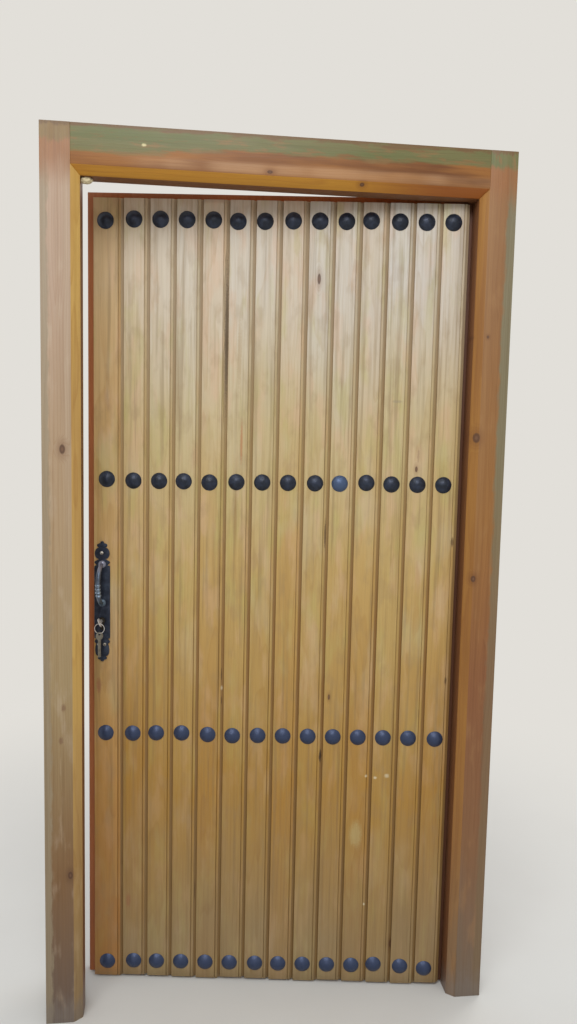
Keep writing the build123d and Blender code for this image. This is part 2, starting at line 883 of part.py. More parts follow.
with BuildPart() as barrel:
    with BuildSketch(facing(barrel_front)):
        barrel_outline(0)
        with Locations((key_x, key_height)):
            Circle(plug_radius + pin_play, mode=Mode.SUBTRACT)
    extrude(amount=barrel_front - barrel_back)
    with BuildSketch(facing(backing_middle - barrel_gap_width / 2)):
        with Locations((key_x, key_height - barrel_gap_drop)):
            Rectangle(
                4 * barrel_radius,
                4 * barrel_radius,
                align=(Align.CENTER, Align.MIN),
            )
    extrude(amount=-barrel_gap_width, mode=Mode.SUBTRACT)
    with BuildSketch(edge_plane):
        with Locations((-backing_middle, barrel_screw_height)):
            Circle(barrel_screw_radius + pin_play)
    extrude(amount=-2 * backset, mode=Mode.SUBTRACT)
save(barrel, "barrel")

# The plug turns in the barrel with its cam, whose pin rides in the slot of the bolt's leg

key_axis = leaf_axes.from_local_coords((key_x, barrel_front, key_height))
leaned_up = Vector(0, 0, 1) * cos(radians(key_lean)) - leaf_axes.x_dir * sin(radians(key_lean))
key_plane = Plane(
    key_axis,
    x_dir=-leaf_axes.y_dir,
    z_dir=(-leaf_axes.y_dir).cross(leaned_up),
)
cam_end = (
    key_x + cam_radius * sin(radians(cam_angle)),
    key_height + cam_radius * cos(radians(cam_angle)),
)

with BuildPart() as plug:
    with BuildSketch(facing(barrel_front)):
        with Locations((key_x, key_height)):
            Circle(plug_radius)
    extrude(amount=barrel_front - barrel_back)
    with BuildSketch(facing(backing_middle + bolt_play)):
        with Locations(Location((key_x, key_height, 0), (0, 0, -cam_angle))):
            Rectangle(2 * cam_arm_radius, cam_radius, align=(Align.CENTER, Align.MIN))
        with Locations(cam_end):
            Circle(cam_arm_radius)
    extrude(amount=-cam_arm_thick)
    with BuildSketch(facing(bolt_front)):
        with Locations(cam_end):
            Circle(cam_pin_radius)
    extrude(amount=-bolt_thick / 2 - bolt_play)
    with BuildSketch(key_plane):
        Rectangle(
            2 * (key_blade_length + key_play),
            key_blade_width + 2 * key_play,
        )
    extrude(amount=key_thick / 2 + key_play, both=True, mode=Mode.SUBTRACT)
save(plug, "plug")


def key_notches(tip, width):
    """The bitting along the lower edge of a blade, from its tip at the left."""
    flank = sqrt((key_notch_pitch / 2) ** 2 + (2 * key_notch_depth) ** 2)
    for step in range(key_notch_count):
        along = tip + key_notch_pitch * (step + 1)
        with Locations((along, -width / 2)):
            Triangle(
                a=key_notch_pitch,
                b=flank,
                c=flank,
                align=(Align.CENTER, Align.CENTER),
                mode=Mode.SUBTRACT,
            )


with BuildPart() as key:
    with BuildSketch(key_plane):
        with Locations((-key_blade_length, 0)):
            Rectangle(
                key_blade_length + key_bow_centre,
                key_blade_width,
                align=(Align.MIN, Align.CENTER),
            )
        with Locations((key_bow_centre, 0)):
            Circle(key_bow_radius)
        with Locations((key_hole_centre, 0)):
            Circle(key_hole_radius, mode=Mode.SUBTRACT)
        key_notches(-key_blade_length, key_blade_width)
    extrude(amount=key_thick / 2, both=True)
save(key, "key")

# The ring passes through the hole of the bow, and the spare key hangs from it

ring_drop = key_hole_radius - ring_wire / 2 - ring_rest
ring_depth = barrel_front - key_hole_centre
ring_middle = key_height - ring_drop - ring_radius
spare_hole = ring_middle - ring_radius - ring_drop

ring_plane = Plane(
    leaf_axes.from_local_coords((key_x, ring_depth, ring_middle)),
    x_dir=leaf_axes.x_dir,
    z_dir=(0, 0, 1),
)

with BuildPart() as key_ring:
    with BuildSketch(ring_plane):
        with Locations((ring_radius, 0)):
            RegularPolygon(ring_wire / 2, ring_facets)
    revolve(axis=Axis(ring_plane.origin, ring_plane.y_dir))
save(key_ring, "key_ring")

spare_plane = Plane(
    leaf_axes.from_local_coords((key_x, ring_depth, spare_hole)),
    x_dir=(0, 0, -1),
    z_dir=leaf_axes.y_dir.rotate(Axis.Z, spare_turn),
)

with BuildPart() as spare_key:
    with BuildSketch(spare_plane):
        with Locations((spare_hole_offset, 0)):
            Circle(spare_bow_radius)
            Rectangle(
                spare_bow_radius + spare_blade_length,
                key_blade_width,
                align=(Align.MIN, Align.CENTER),
            )
        Circle(key_hole_radius, mode=Mode.SUBTRACT)
        key_notches(spare_blade_length / 2 + spare_bow_radius, key_blade_width)
    extrude(amount=key_thick / 2, both=True)
save(spare_key, "spare_key")

# A plate and a pull on either face of the leaf

inner_face = Plane(
    leaf_axes.from_local_coords((0, frame_depth, 0)),
    x_dir=-leaf_axes.x_dir,
    z_dir=leaf_axes.y_dir,
)
plate_lobes = [
    (150.5, 13.3, 5.5),
    (128, 18.5, 10),
    (102.5, 17.5, 4),
    (-106.5, 19, 5),
    (-128, 18, 30.5),
]

for name, face, x in (("outer", facing(boards_front), key_x), ("inner", inner_face, -key_x)):
    with BuildPart() as plate:
        with BuildSketch(face):
            with Locations((x, plate_centre_height + plate_side_bottom)):
                Rectangle(
                    2 * plate_half_width,
                    plate_side_top - plate_side_bottom,
                    align=(Align.CENTER, Align.MIN),
                )
                Rectangle(
                    2 * plate_neck_half_width,
                    plate_screw_high - plate_side_bottom,
                    align=(Align.CENTER, Align.MIN),
                )
            with Locations((x, plate_centre_height + plate_side_top)):
                Triangle(
                    a=2 * plate_neck_half_width,
                    b=plate_half_height - plate_side_top,
                    c=plate_half_height - plate_side_top,
                    align=(Align.CENTER, Align.MIN),
                )
            for height, half_width, half_height in plate_lobes:
                with Locations((x, plate_centre_height + height)):
                    Ellipse(half_width, half_height)
        extrude(amount=plate_thick)
        with BuildSketch(face):
            barrel_outline(joint_play, x)
            with Locations(*pull_places(x)):
                RegularPolygon(rivet_radius + nail_play, round_facets)
            with Locations(*plate_screw_places(x)):
                screw_bore()
        extrude(amount=plate_thick, mode=Mode.SUBTRACT)
    save(plate, f"{name}_plate")
    with BuildPart(face.offset(plate_thick)) as plate_screws:
        with Locations(*plate_screw_places(x)):
            add(round_screw.part)
    save(plate_screws, f"{name}_plate_screws")
    profile = Plane(
        face.from_local_coords((x, 0, plate_thick)),
        x_dir=face.z_dir,
        z_dir=face.z_dir.cross(Vector(0, 0, 1)),
    )
    with BuildPart() as pull:
        with BuildLine(profile) as bow:
            curve = EllipticalCenterArc(
                (0, plate_centre_height + (pull_top + pull_bottom) / 2),
                pull_standoff,
                (pull_top - pull_bottom) / 2,
                start_angle=-90,
                arc_size=180,
                mode=Mode.PRIVATE,
            )
            Polyline(*[curve @ (step / pull_bends) for step in range(pull_bends + 1)])
        with BuildSketch(Plane(curve @ 0, z_dir=curve % 0)):
            RegularPolygon(pull_bar_radius, round_facets)
        sweep(path=bow.line, transition=Transition.RIGHT)
        split(bisect_by=face.offset(plate_thick))
        for step in range(pull_rib_count):
            along = pull_rib_drop + (step - (pull_rib_count - 1) / 2) * pull_rib_pitch
            place = 0.5 - along / curve.length
            with BuildSketch(Plane(curve @ place, z_dir=curve % place)):
                RegularPolygon(pull_rib_radius, round_facets)
            extrude(amount=pull_rib_width / 2, both=True)
        with BuildSketch(face.offset(plate_thick)):
            with Locations(*pull_places(x)):
                RegularPolygon(pull_boss_radius, 2 * round_facets)
        extrude(amount=pull_boss_height, taper=pull_boss_taper)
        with BuildSketch(face.offset(plate_thick)):
            with Locations(*pull_places(x)):
                RegularPolygon(rivet_radius, round_facets)
        extrude(amount=-plate_thick - rivet_head_height)
        with BuildSketch(face):
            with Locations(*pull_places(x)):
                RegularPolygon(rivet_head_radius, round_facets)
        extrude(amount=-rivet_head_height)
    save(pull, f"{name}_pull")
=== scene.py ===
"""Finishes and fine forms for a plank door that stands ajar in its pine frame."""

import json
from math import asin, cos, pi, radians, sin

import bmesh
import bpy
from bpy.props import FloatProperty, FloatVectorProperty, IntProperty, PointerProperty
from mathutils import Matrix, Vector, geometry, noise

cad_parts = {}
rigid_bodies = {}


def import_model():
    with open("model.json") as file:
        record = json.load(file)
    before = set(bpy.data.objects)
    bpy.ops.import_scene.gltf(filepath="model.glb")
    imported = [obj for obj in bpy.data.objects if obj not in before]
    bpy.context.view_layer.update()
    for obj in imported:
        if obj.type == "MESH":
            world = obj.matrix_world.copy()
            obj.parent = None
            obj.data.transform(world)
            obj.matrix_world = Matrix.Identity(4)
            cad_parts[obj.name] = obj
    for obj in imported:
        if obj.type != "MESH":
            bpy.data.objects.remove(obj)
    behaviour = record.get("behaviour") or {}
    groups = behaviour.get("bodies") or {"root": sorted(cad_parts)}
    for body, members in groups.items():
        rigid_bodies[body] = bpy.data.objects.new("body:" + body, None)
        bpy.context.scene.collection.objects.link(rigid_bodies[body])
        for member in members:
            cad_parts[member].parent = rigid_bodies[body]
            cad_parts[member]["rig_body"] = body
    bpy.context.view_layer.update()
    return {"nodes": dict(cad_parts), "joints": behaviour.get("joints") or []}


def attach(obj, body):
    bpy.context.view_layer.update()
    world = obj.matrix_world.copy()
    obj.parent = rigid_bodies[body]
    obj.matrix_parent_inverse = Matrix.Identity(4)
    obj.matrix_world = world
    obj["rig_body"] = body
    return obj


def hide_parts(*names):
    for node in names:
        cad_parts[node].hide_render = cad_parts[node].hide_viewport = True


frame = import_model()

bl_info = {
    "name": "Plank door",
    "version": (1, 0, 0),
    "blender": (4, 5, 0),
    "location": "3D View > Sidebar > Door",
    "description": "Finishes a nailed plank door in its frame",
    "category": "Object",
}

# The leaf is drawn ajar. Points of the closed door are turned about the hinge pins.
swing = next(joint for joint in frame["joints"] if joint["name"] == "door_swing")
pin = Vector((swing["pos_m"][0], swing["pos_m"][1], 0))
ajar = radians(-swing["range_deg"][0])
opened = Matrix.Translation(pin) @ Matrix.Rotation(-ajar, 4, "Z") @ Matrix.Translation(-pin)
closed = opened.inverted()
outwards = (opened.to_3x3() @ Vector((0, -1, 0))).normalized()

board_names = [f"board_{number:02}" for number in range(1, 15)]

# A board from one joint to the next: its flat face, a quirk, a bead and a sunk strip
board_pitch = 0.066
flat_width = 0.050
first_flat_width = 0.0605
quirk_width = 0.0018
bead_width = 0.0064

# Where the frame's finishes change, as distances from the door's middle and heights on the
# head: the chamfer's outer edge, and the limit of the painted shade inside
chamfer_edge = 0.494
shade_edge = 0.488
head_chamfer_edge = 2.081
head_shade_edge = 2.070

# The painted shade starts at this depth, just behind the chamfer, and the stops end at this one
shade_depth = 0.0165
stop_depth = 0.060

# Heights over which the tones of the boards and of the jambs run
board_tones_top = 2.1
jamb_tones_top = 2.2

# How many nails there are, and a depth just behind the boards' face, past their heads
nail_count = 56
behind_board_face = 0.0435

# A pull's ribs stand this far apart, their row lies this far below the pull's middle, and the
# ends of its bar lie this far inside the height of the CAD piece
rib_pitch = 0.0095
rib_drop = 0.011
pull_end_inset = 0.0095


def srgb(red, green, blue):
    """A colour as a painter would mix it on a screen, in the linear values that nodes use."""
    shares = (value / 255 for value in (red, green, blue))
    return tuple(v / 12.92 if v <= 0.04045 else ((v + 0.055) / 1.055) ** 2.4 for v in shares)


def colour_choice(name, description, red, green, blue):
    """A colour setting of the panel."""
    return FloatVectorProperty(
        name=name,
        description=description,
        subtype="COLOR",
        size=3,
        min=0,
        max=1,
        default=srgb(red, green, blue),
    )


def length_choice(name, description, metres):
    """A length setting of the panel."""
    return FloatProperty(
        name=name,
        description=description,
        subtype="DISTANCE",
        unit="LENGTH",
        min=0,
        precision=4,
        default=metres,
    )


class DoorSizes(bpy.types.PropertyGroup):
    """Sizes of the fine forms."""

    wood_arris: length_choice("Wood arris", "Rounding of the wood's edges", 0.0011)
    board_arris: length_choice("Board arris", "Rounding of the boards' edges", 0.0007)
    key_arris: length_choice("Key arris", "Rounding of the keys' edges", 0.0003)
    metal_arris: length_choice("Metal arris", "Rounding of the metal's edges", 0.0004)
    nail_radius: length_choice("Nail radius", "Radius of a nail's domed head", 0.021)
    nail_height: length_choice("Nail height", "Height of a nail's domed head", 0.0105)
    nail_rim: length_choice("Nail rim", "Thickness of the head at its rim", 0.0008)
    nail_hammering: length_choice("Nail hammering", "Depth of the hammer's marks", 0.0009)
    pull_radius: length_choice("Pull radius", "Radius of the pull's bar", 0.0053)
    rib_radius: length_choice("Rib radius", "Radius of the pull's ribs", 0.0072)
    rib_count: IntProperty(name="Ribs", description="Ribs on the pull", min=1, default=4)
    board_waver: length_choice("Board waver", "How far the boards' edges waver", 0.0003)
    seed: IntProperty(name="Seed", description="Chooses the turns and marks", default=7)


class DoorColours(bpy.types.PropertyGroup):
    """Colours of the finishes."""

    # The boards' paler upper tones carry a painted sky sheen, strongest at the top
    board_top_sheen: colour_choice("Boards, top", "Bleached wood at the top", 206, 195, 177)
    board_upper: colour_choice("Boards, upper", "Paler oil above the middle", 194, 177, 134)
    board_middle: colour_choice("Boards, middle", "Oiled wood half-way up", 188, 159, 98)
    board_low: colour_choice("Boards, low", "Darker oil low down", 166, 127, 54)
    board_foot: colour_choice("Boards, foot", "Worn wood at the foot", 146, 124, 86)
    # Red-brown stain, darker and redder with painted shade, since the front margins are seen in
    # shadow
    backing_stain_and_shade: colour_choice("Backing frame", "Stained wood behind the boards", 158, 88, 42)
    latch_jamb: colour_choice("Latch jamb", "Greyed tan wood", 173, 145, 121)
    hinge_jamb: colour_choice("Hinge jamb", "Oiled orange-brown wood", 141, 98, 54)
    head: colour_choice("Head", "Oiled orange-brown wood", 152, 98, 40)
    chamfer: colour_choice("Chamfers", "Golden oil on the chamfers", 194, 136, 36)
    # Painted shade on the faces inside the stops
    stop: colour_choice("Stops", "Dark stain inside the stops", 122, 78, 46)
    old_paint: colour_choice("Old paint", "Green traces of old paint", 98, 102, 54)
    iron: colour_choice("Iron", "Blackened iron", 30, 35, 46)
    steel: colour_choice("Steel", "Worn bright steel", 188, 184, 176)
    # The barrel's near black is painted shade of the hollow at the keyhole
    brass_in_shade: colour_choice("Brass", "Brass gone nearly black", 56, 50, 40)


def sizes():
    return bpy.context.scene.door_sizes


def colours():
    return bpy.context.scene.door_colours


# Materials


class Finish:
    """A material that is being put together, with short calls for its nodes."""

    def __init__(self, name):
        self.material = bpy.data.materials.new(name)
        self.material.use_nodes = True
        self.tree = self.material.node_tree
        self.tree.nodes.clear()
        self.shader = self.add("ShaderNodeBsdfPrincipled")
        output = self.add("ShaderNodeOutputMaterial")
        self.tree.links.new(self.shader.outputs["BSDF"], output.inputs["Surface"])
        self.point = self.add("ShaderNodeTexCoord").outputs["Object"]

    def add(self, kind, **values):
        node = self.tree.nodes.new(kind)
        for key, value in values.items():
            setattr(node, key, value)
        return node

    def feed(self, socket, value):
        if isinstance(value, bpy.types.NodeSocket):
            self.tree.links.new(value, socket)
        elif hasattr(value, "__len__") and len(socket.default_value) == 4 and len(value) == 3:
            socket.default_value = (*value, 1)
        else:
            socket.default_value = value

    def set(self, name, value):
        self.feed(self.shader.inputs[name], value)

    def math(self, operation, *values, clamp=False):
        node = self.add("ShaderNodeMath", operation=operation, use_clamp=clamp)
        for socket, value in zip(node.inputs, values):
            self.feed(socket, value)
        return node.outputs[0]

    def times(self, first, second):
        return self.math("MULTIPLY", first, second)

    def plus(self, base, value, share):
        """A base and a share of a value."""
        return self.math("MULTIPLY_ADD", value, share, base)

    def distance(self, across, along):
        """How far a flat step goes."""
        return self.math("SQRT", self.plus(self.times(along, along), across, across))

    def split(self, point):
        node = self.add("ShaderNodeSeparateXYZ")
        self.feed(node.inputs[0], point)
        return node.outputs[0], node.outputs[1], node.outputs[2]

    def placed(self, point, move=(0, 0, 0), turn=0.0, scale=(1, 1, 1)):
        node = self.add("ShaderNodeMapping")
        self.feed(node.inputs["Vector"], point)
        node.inputs["Location"].default_value = move
        node.inputs["Rotation"].default_value = (0, 0, turn)
        node.inputs["Scale"].default_value = scale
        return node.outputs[0]

    def closed_door(self):
        """The point as it lies when the leaf is shut."""
        return self.placed(self.point, move=closed.to_translation(), turn=ajar)

    def noise(self, point, scale=1.0, detail=2.0, roughness=0.5):
        node = self.add("ShaderNodeTexNoise")
        self.feed(node.inputs["Vector"], point)
        node.inputs["Scale"].default_value = scale
        node.inputs["Detail"].default_value = detail
        node.inputs["Roughness"].default_value = roughness
        return node.outputs["Fac"]

    def cloud(self, point, scale, detail, roughness=0.5, move=(0, 0, 0)):
        """Noise with a scale of its own for each axis."""
        place = self.placed(point, move=move, scale=scale)
        return self.noise(place, detail=detail, roughness=roughness)

    def ramp(self, factor, *stops):
        """Colours or greys along a factor, as (place, colour) or (place, grey)."""
        node = self.add("ShaderNodeValToRGB")
        self.feed(node.inputs[0], factor)
        line = node.color_ramp.elements
        while len(line) < len(stops):
            line.new(1)
        for element, (place, colour) in zip(line, stops):
            element.position = place
            shade = (colour,) * 3 if isinstance(colour, (int, float)) else tuple(colour)[:3]
            element.color = (*shade, 1)
        return node.outputs["Color"]

    def rise(self, value, low, high):
        """0 below low and 1 above high, with a smooth turn between them."""
        node = self.add("ShaderNodeMapRange", interpolation_type="SMOOTHSTEP")
        self.feed(node.inputs["Value"], value)
        node.inputs["From Min"].default_value = low
        node.inputs["From Max"].default_value = high
        return node.outputs["Result"]

    def above(self, value, edge, soft=0.0005):
        """1 above an edge, with a narrow turn at it."""
        return self.rise(value, edge - soft, edge + soft)

    def below(self, value, edge, soft=0.0005):
        """1 below an edge, with a narrow turn at it."""
        return self.rise(value, edge + soft, edge - soft)

    def band(self, value, low, high, soft):
        """1 between low and high, 0 outside."""
        up = self.above(value, low, soft)
        return self.math("SUBTRACT", up, self.above(value, high, soft), clamp=True)

    def blend(self, factor, first, second, mode="MIX"):
        node = self.add("ShaderNodeMix", data_type="RGBA", blend_type=mode)
        self.feed(node.inputs[0], factor)
        self.feed(node.inputs[6], first)
        self.feed(node.inputs[7], second)
        return node.outputs[2]

    def over(self, tone, colour, mask, share):
        """A colour laid over a tone by a share of a mask."""
        return self.blend(self.times(mask, share), tone, colour)

    def spot(self, x, z, place, half_width, half_height):
        """Distance from a spot on an upright face, 1 at its edge."""
        across = self.times(self.math("SUBTRACT", x, place[0]), 1 / half_width)
        along = self.times(self.math("SUBTRACT", z, place[1]), 1 / half_height)
        return self.distance(across, along)

    def marked(self, point, tone, marks):
        """Stains, specks, cracks, worn patches and painted highlights on a face, each with a
        ragged edge.
        """
        if not marks:
            return tone
        x, z = self.split(point)[::2]
        ragged = self.noise(self.point, scale=240, detail=3)
        for place, half_width, half_height, colour, share in marks:
            distance = self.spot(x, z, place, half_width, half_height)
            mask = self.rise(self.plus(distance, ragged, 0.9), 1.75, 0.85)
            tone = self.over(tone, colour, mask, share)
        return tone

    def relief(self, height, distance, strength=1.0):
        node = self.add("ShaderNodeBump")
        node.inputs["Strength"].default_value = strength
        node.inputs["Distance"].default_value = distance
        self.feed(node.inputs["Height"], height)
        self.set("Normal", node.outputs[0])


def grain(finish, point, seed, along="Z", knots=()):
    """Growth rings, streaks and fibres of a sawn piece, each from 0 to 1, and its knots."""
    shift = (seed * 3.17, seed * 1.71, seed * 0.83)
    x, y, z = finish.split(point)
    side = z if along == "X" else x

    def drawn_out(across, length, detail, roughness=0.5):
        scale = (across, across, length) if along == "Z" else (length, across, across)
        return finish.cloud(point, scale, detail, roughness, shift)

    # The heart of the tree lies behind the face, a little to one side
    heart = (sin(seed * 2.3) * 0.03, 0.06 + 0.02 * cos(seed * 1.3))
    from_heart_x = finish.math("ADD", finish.math("PINGPONG", side, board_pitch / 2), heart[0])
    from_heart_y = finish.math("ADD", y, heart[1])
    radius = finish.distance(from_heart_x, from_heart_y)
    swirl = finish.plus(finish.times(radius, 260.0), drawn_out(9, 1.3, 3), 9.0)
    masks = []
    for place, half_width, half_height in knots:
        distance = finish.spot(x, z, place, half_width, half_height)
        near = finish.rise(distance, 3.2, 0.4)
        swirl = finish.plus(swirl, near, 3.0)
        masks.append((finish.rise(distance, 1.1, 0.75), finish.rise(distance, 0.6, 0.15), near))
    ring = finish.ramp(finish.math("FRACT", swirl), (0, 0), (0.72, 0.35), (0.93, 1), (1, 0))
    return ring, drawn_out(120, 1.6, 4, 0.6), drawn_out(900, 14, 2, 0.7), masks


def wooded(finish, tone, wood, contrast):
    """Lay the grain over a tone, and give the wood its sheen and relief."""
    ring, streak, fibre, masks = wood
    late = tuple(1 - contrast * share for share in (0.13, 0.2, 0.3))
    dark = tuple(1 - contrast * share for share in (0.17, 0.22, 0.3))
    for factor, *stops in (
        (ring, (0, 1.0), (1, late)),
        (streak, (0.3, dark), (0.5, 1.0), (0.75, 1.0)),
        (fibre, (0.3, 0.92), (0.6, 1.0)),
    ):
        tone = finish.blend(1.0, tone, finish.ramp(factor, *stops), "MULTIPLY")
    for rim, heart, near in masks:
        tone = finish.blend(finish.times(near, 0.35), tone, srgb(150, 96, 48), "MULTIPLY")
        tone = finish.over(tone, srgb(74, 44, 26), rim, 0.8)
        tone = finish.over(tone, srgb(128, 92, 66), heart, 0.45)
    finish.set("Base Color", tone)
    gloss = finish.math("MULTIPLY_ADD", fibre, 0.22, 0.4)
    finish.set("Roughness", finish.plus(gloss, ring, -0.06))
    finish.relief(finish.plus(finish.plus(fibre, ring, 0.35), streak, 0.8), 0.0004, 0.55)
    return finish.material


# Knots and marks, as they lie on the closed door: place across and up, half width, half height
board_knots = {
    9: [((0.1010, 1.8690), 0.0045, 0.014)],
    10: [((0.1530, 0.7984), 0.0030, 0.008)],
    12: [((0.3385, 0.1156), 0.0055, 0.012)],
    13: [((0.3600, 1.4000), 0.0035, 0.008)],
}
crack = srgb(84, 58, 32)
# Pale specks; the one low on the bead of board 11 is a painted glint
speck_and_glint = srgb(220, 210, 180)
board_marks = {
    1: [((-0.4514, 0.8154), 0.008, 0.022, srgb(146, 82, 60), 0.55)],
    2: [((-0.3725, 0.2217), 0.007, 0.020, srgb(146, 90, 60), 0.5)],
    4: [((-0.1941, 0.2553), 0.0013, 0.032, crack, 0.8)],
    5: [
        ((-0.1285, 1.7200), 0.0048, 0.190, srgb(92, 76, 56), 0.85),
        ((-0.1300, 0.8505), 0.0013, 0.018, crack, 0.8),
        ((-0.1290, 0.8150), 0.0030, 0.006, speck_and_glint, 0.6),
        ((-0.1290, 0.7805), 0.0013, 0.014, crack, 0.8),
    ],
    6: [
        ((-0.0865, 1.4572), 0.0032, 0.055, srgb(178, 112, 66), 0.6),
        ((-0.0950, 1.6800), 0.0050, 0.090, srgb(168, 140, 104), 0.45),
        ((-0.1000, 1.2600), 0.0040, 0.070, srgb(150, 116, 62), 0.4),
    ],
    9: [
        ((0.1320, 1.2263), 0.0030, 0.040, crack, 0.7),
        ((0.1340, 0.6378), 0.0040, 0.018, srgb(56, 38, 24), 0.9),
    ],
    11: [
        ((0.2570, 0.5862), 0.0035, 0.004, speck_and_glint, 0.7),
        # A painted glint on the bead
        ((0.2620, 0.2288), 0.0030, 0.004, speck_and_glint, 0.7),
        ((0.2340, 0.4251), 0.0170, 0.038, srgb(184, 168, 116), 0.5),
    ],
    12: [
        ((0.2809, 0.5824), 0.0045, 0.004, speck_and_glint, 0.7),
        ((0.3114, 0.5885), 0.0065, 0.006, speck_and_glint, 0.5),
        ((0.3060, 1.5700), 0.0140, 0.004, srgb(150, 136, 112), 0.5),
    ],
    13: [((0.3640, 1.4350), 0.0030, 0.020, srgb(140, 112, 84), 0.5)],
    14: [
        ((0.4590, 1.2150), 0.0040, 0.013, crack, 0.7),
        ((0.4560, 0.8494), 0.0035, 0.010, crack, 0.7),
    ],
}


def board_material(number):
    """Oiled pine, paler at the top by a painted sky sheen, with oil and dirt left in its grooves.
    """
    tints = colours()
    name = board_names[number - 1]
    finish = Finish(f"{name}_pine")
    point = finish.closed_door()
    x, y, z = finish.split(point)
    seed = number * 1.37 + 0.4
    wood = grain(finish, point, seed, knots=board_knots.get(number, ()))
    drift = finish.cloud(point, (6, 6, 2.2), 3, move=(seed, 0, 0))
    level = finish.plus(finish.math("ADD", z, -0.2), drift, 0.4)
    if number == 1:
        steps = (
            srgb(168, 120, 64),
            srgb(186, 139, 72),
            srgb(198, 163, 106),
            srgb(202, 166, 108),
            srgb(204, 176, 132),
        )
    else:
        across_door = (number - 1) / 13
        whiter_sheen = srgb(206 - 12 * across_door, 196, 176 + 24 * across_door)
        steps = (
            tints.board_foot,
            tints.board_low,
            tints.board_middle,
            tints.board_upper,
            tuple((first + second) / 2 for first, second in zip(tints.board_top_sheen, whiter_sheen)),
        )
    # Tones from the foot up; the paler upper ones and the whiter top are a painted sky sheen
    places = (0.05, 0.26, 0.53, 0.71, 0.87)
    tone = finish.ramp(finish.times(level, 1 / board_tones_top), *zip(places, steps))
    warmth = 0.5 + 0.5 * sin(number * 4.1)
    tint = srgb(255, 253 - 8 * warmth, 251 - 18 * warmth)
    tone = finish.blend(1.0, tone, tint, "MULTIPLY")

    # Large soft patches of other tones, most of them stronger higher up
    paler = finish.math("MULTIPLY_ADD", finish.rise(z, 0.3, 1.5), 0.7, 0.3)
    for scale, move, colour, share in (
        ((30, 30, 8), (seed, 0, 0), srgb(208, 170, 138), finish.times(paler, 0.4)),
        ((24, 24, 6), (0, seed, 3), srgb(180, 172, 100), finish.times(paler, 0.4)),
        ((90, 90, 2.2), (4, seed, 0), srgb(128, 102, 64), 0.4),
        ((40, 40, 16), (7, seed, 0), srgb(150, 122, 84), 0.25),
        ((14, 14, 5), (0, seed, 0), srgb(206, 194, 168), finish.times(paler, 0.22)),
    ):
        patch = finish.rise(finish.cloud(point, scale, 4, move=move), 0.5, 0.7)
        tone = finish.over(tone, colour, patch, share)

    # The moulded edge: a faint quirk, a bead, then the sunk strip with its oil
    left = min((closed @ vertex.co).x for vertex in frame["nodes"][name].data.vertices)
    across = finish.math("SUBTRACT", x, left)
    high = finish.rise(z, 0.7, 1.7)
    quirk_start = first_flat_width if number == 1 else flat_width
    bead_start = quirk_start + quirk_width
    quirk = finish.band(across, quirk_start, bead_start, 0.0004)
    dirt = finish.blend(high, srgb(112, 82, 44), srgb(158, 136, 100))
    tone = finish.over(tone, dirt, quirk, 0.4)
    bead = finish.band(across, bead_start, bead_start + bead_width, 0.0004)
    worn = finish.blend(high, (0.96, 0.94, 0.9), (0.84, 0.79, 0.68))
    tone = finish.blend(bead, tone, worn, "MULTIPLY")
    # The oil in the sunk strip, paler towards the top by the same painted sky sheen
    oil = finish.ramp(
        finish.times(z, 1 / board_tones_top),
        (0.15, srgb(134, 104, 62)),
        (0.45, srgb(152, 114, 66)),
        (0.68, srgb(166, 138, 94)),
        (0.85, srgb(170, 148, 118)),
    )
    tone = finish.over(tone, oil, finish.rise(y, 0.0455, 0.0463), 0.92)
    tone = finish.marked(point, tone, board_marks.get(number, ()))
    foot = finish.rise(finish.plus(z, drift, 0.03), 0.055, 0.02)
    tone = finish.over(tone, srgb(112, 92, 62), foot, 0.4)
    return wooded(finish, tone, wood, contrast=0.55)


def coated(finish, tone, lower, drift, ragged, bare):
    """The upper edge of the frame under its traces of old green paint."""
    y, z = finish.split(finish.point)[1:]
    green = finish.blend(finish.rise(drift, 0.35, 0.62), colours().old_paint, srgb(112, 108, 64))
    worn = finish.blend(finish.rise(drift, 0.3, 0.6), srgb(122, 88, 42), srgb(132, 106, 62))
    coat = worn if bare else finish.blend(finish.rise(ragged, 0.5, 0.62), green, worn)
    height = finish.plus(z, ragged, 0.05)
    mask = finish.rise(finish.plus(height, lower, 0.02), 2.149, 2.162)
    front = finish.rise(finish.plus(y, ragged, 0.02), 0.045, 0.03)
    tone = finish.over(tone, coat, mask, front)
    # The very top turns dark brown, a painted shade under the lintel
    return finish.blend(finish.rise(height, 2.184, 2.194), tone, srgb(112, 84, 48))


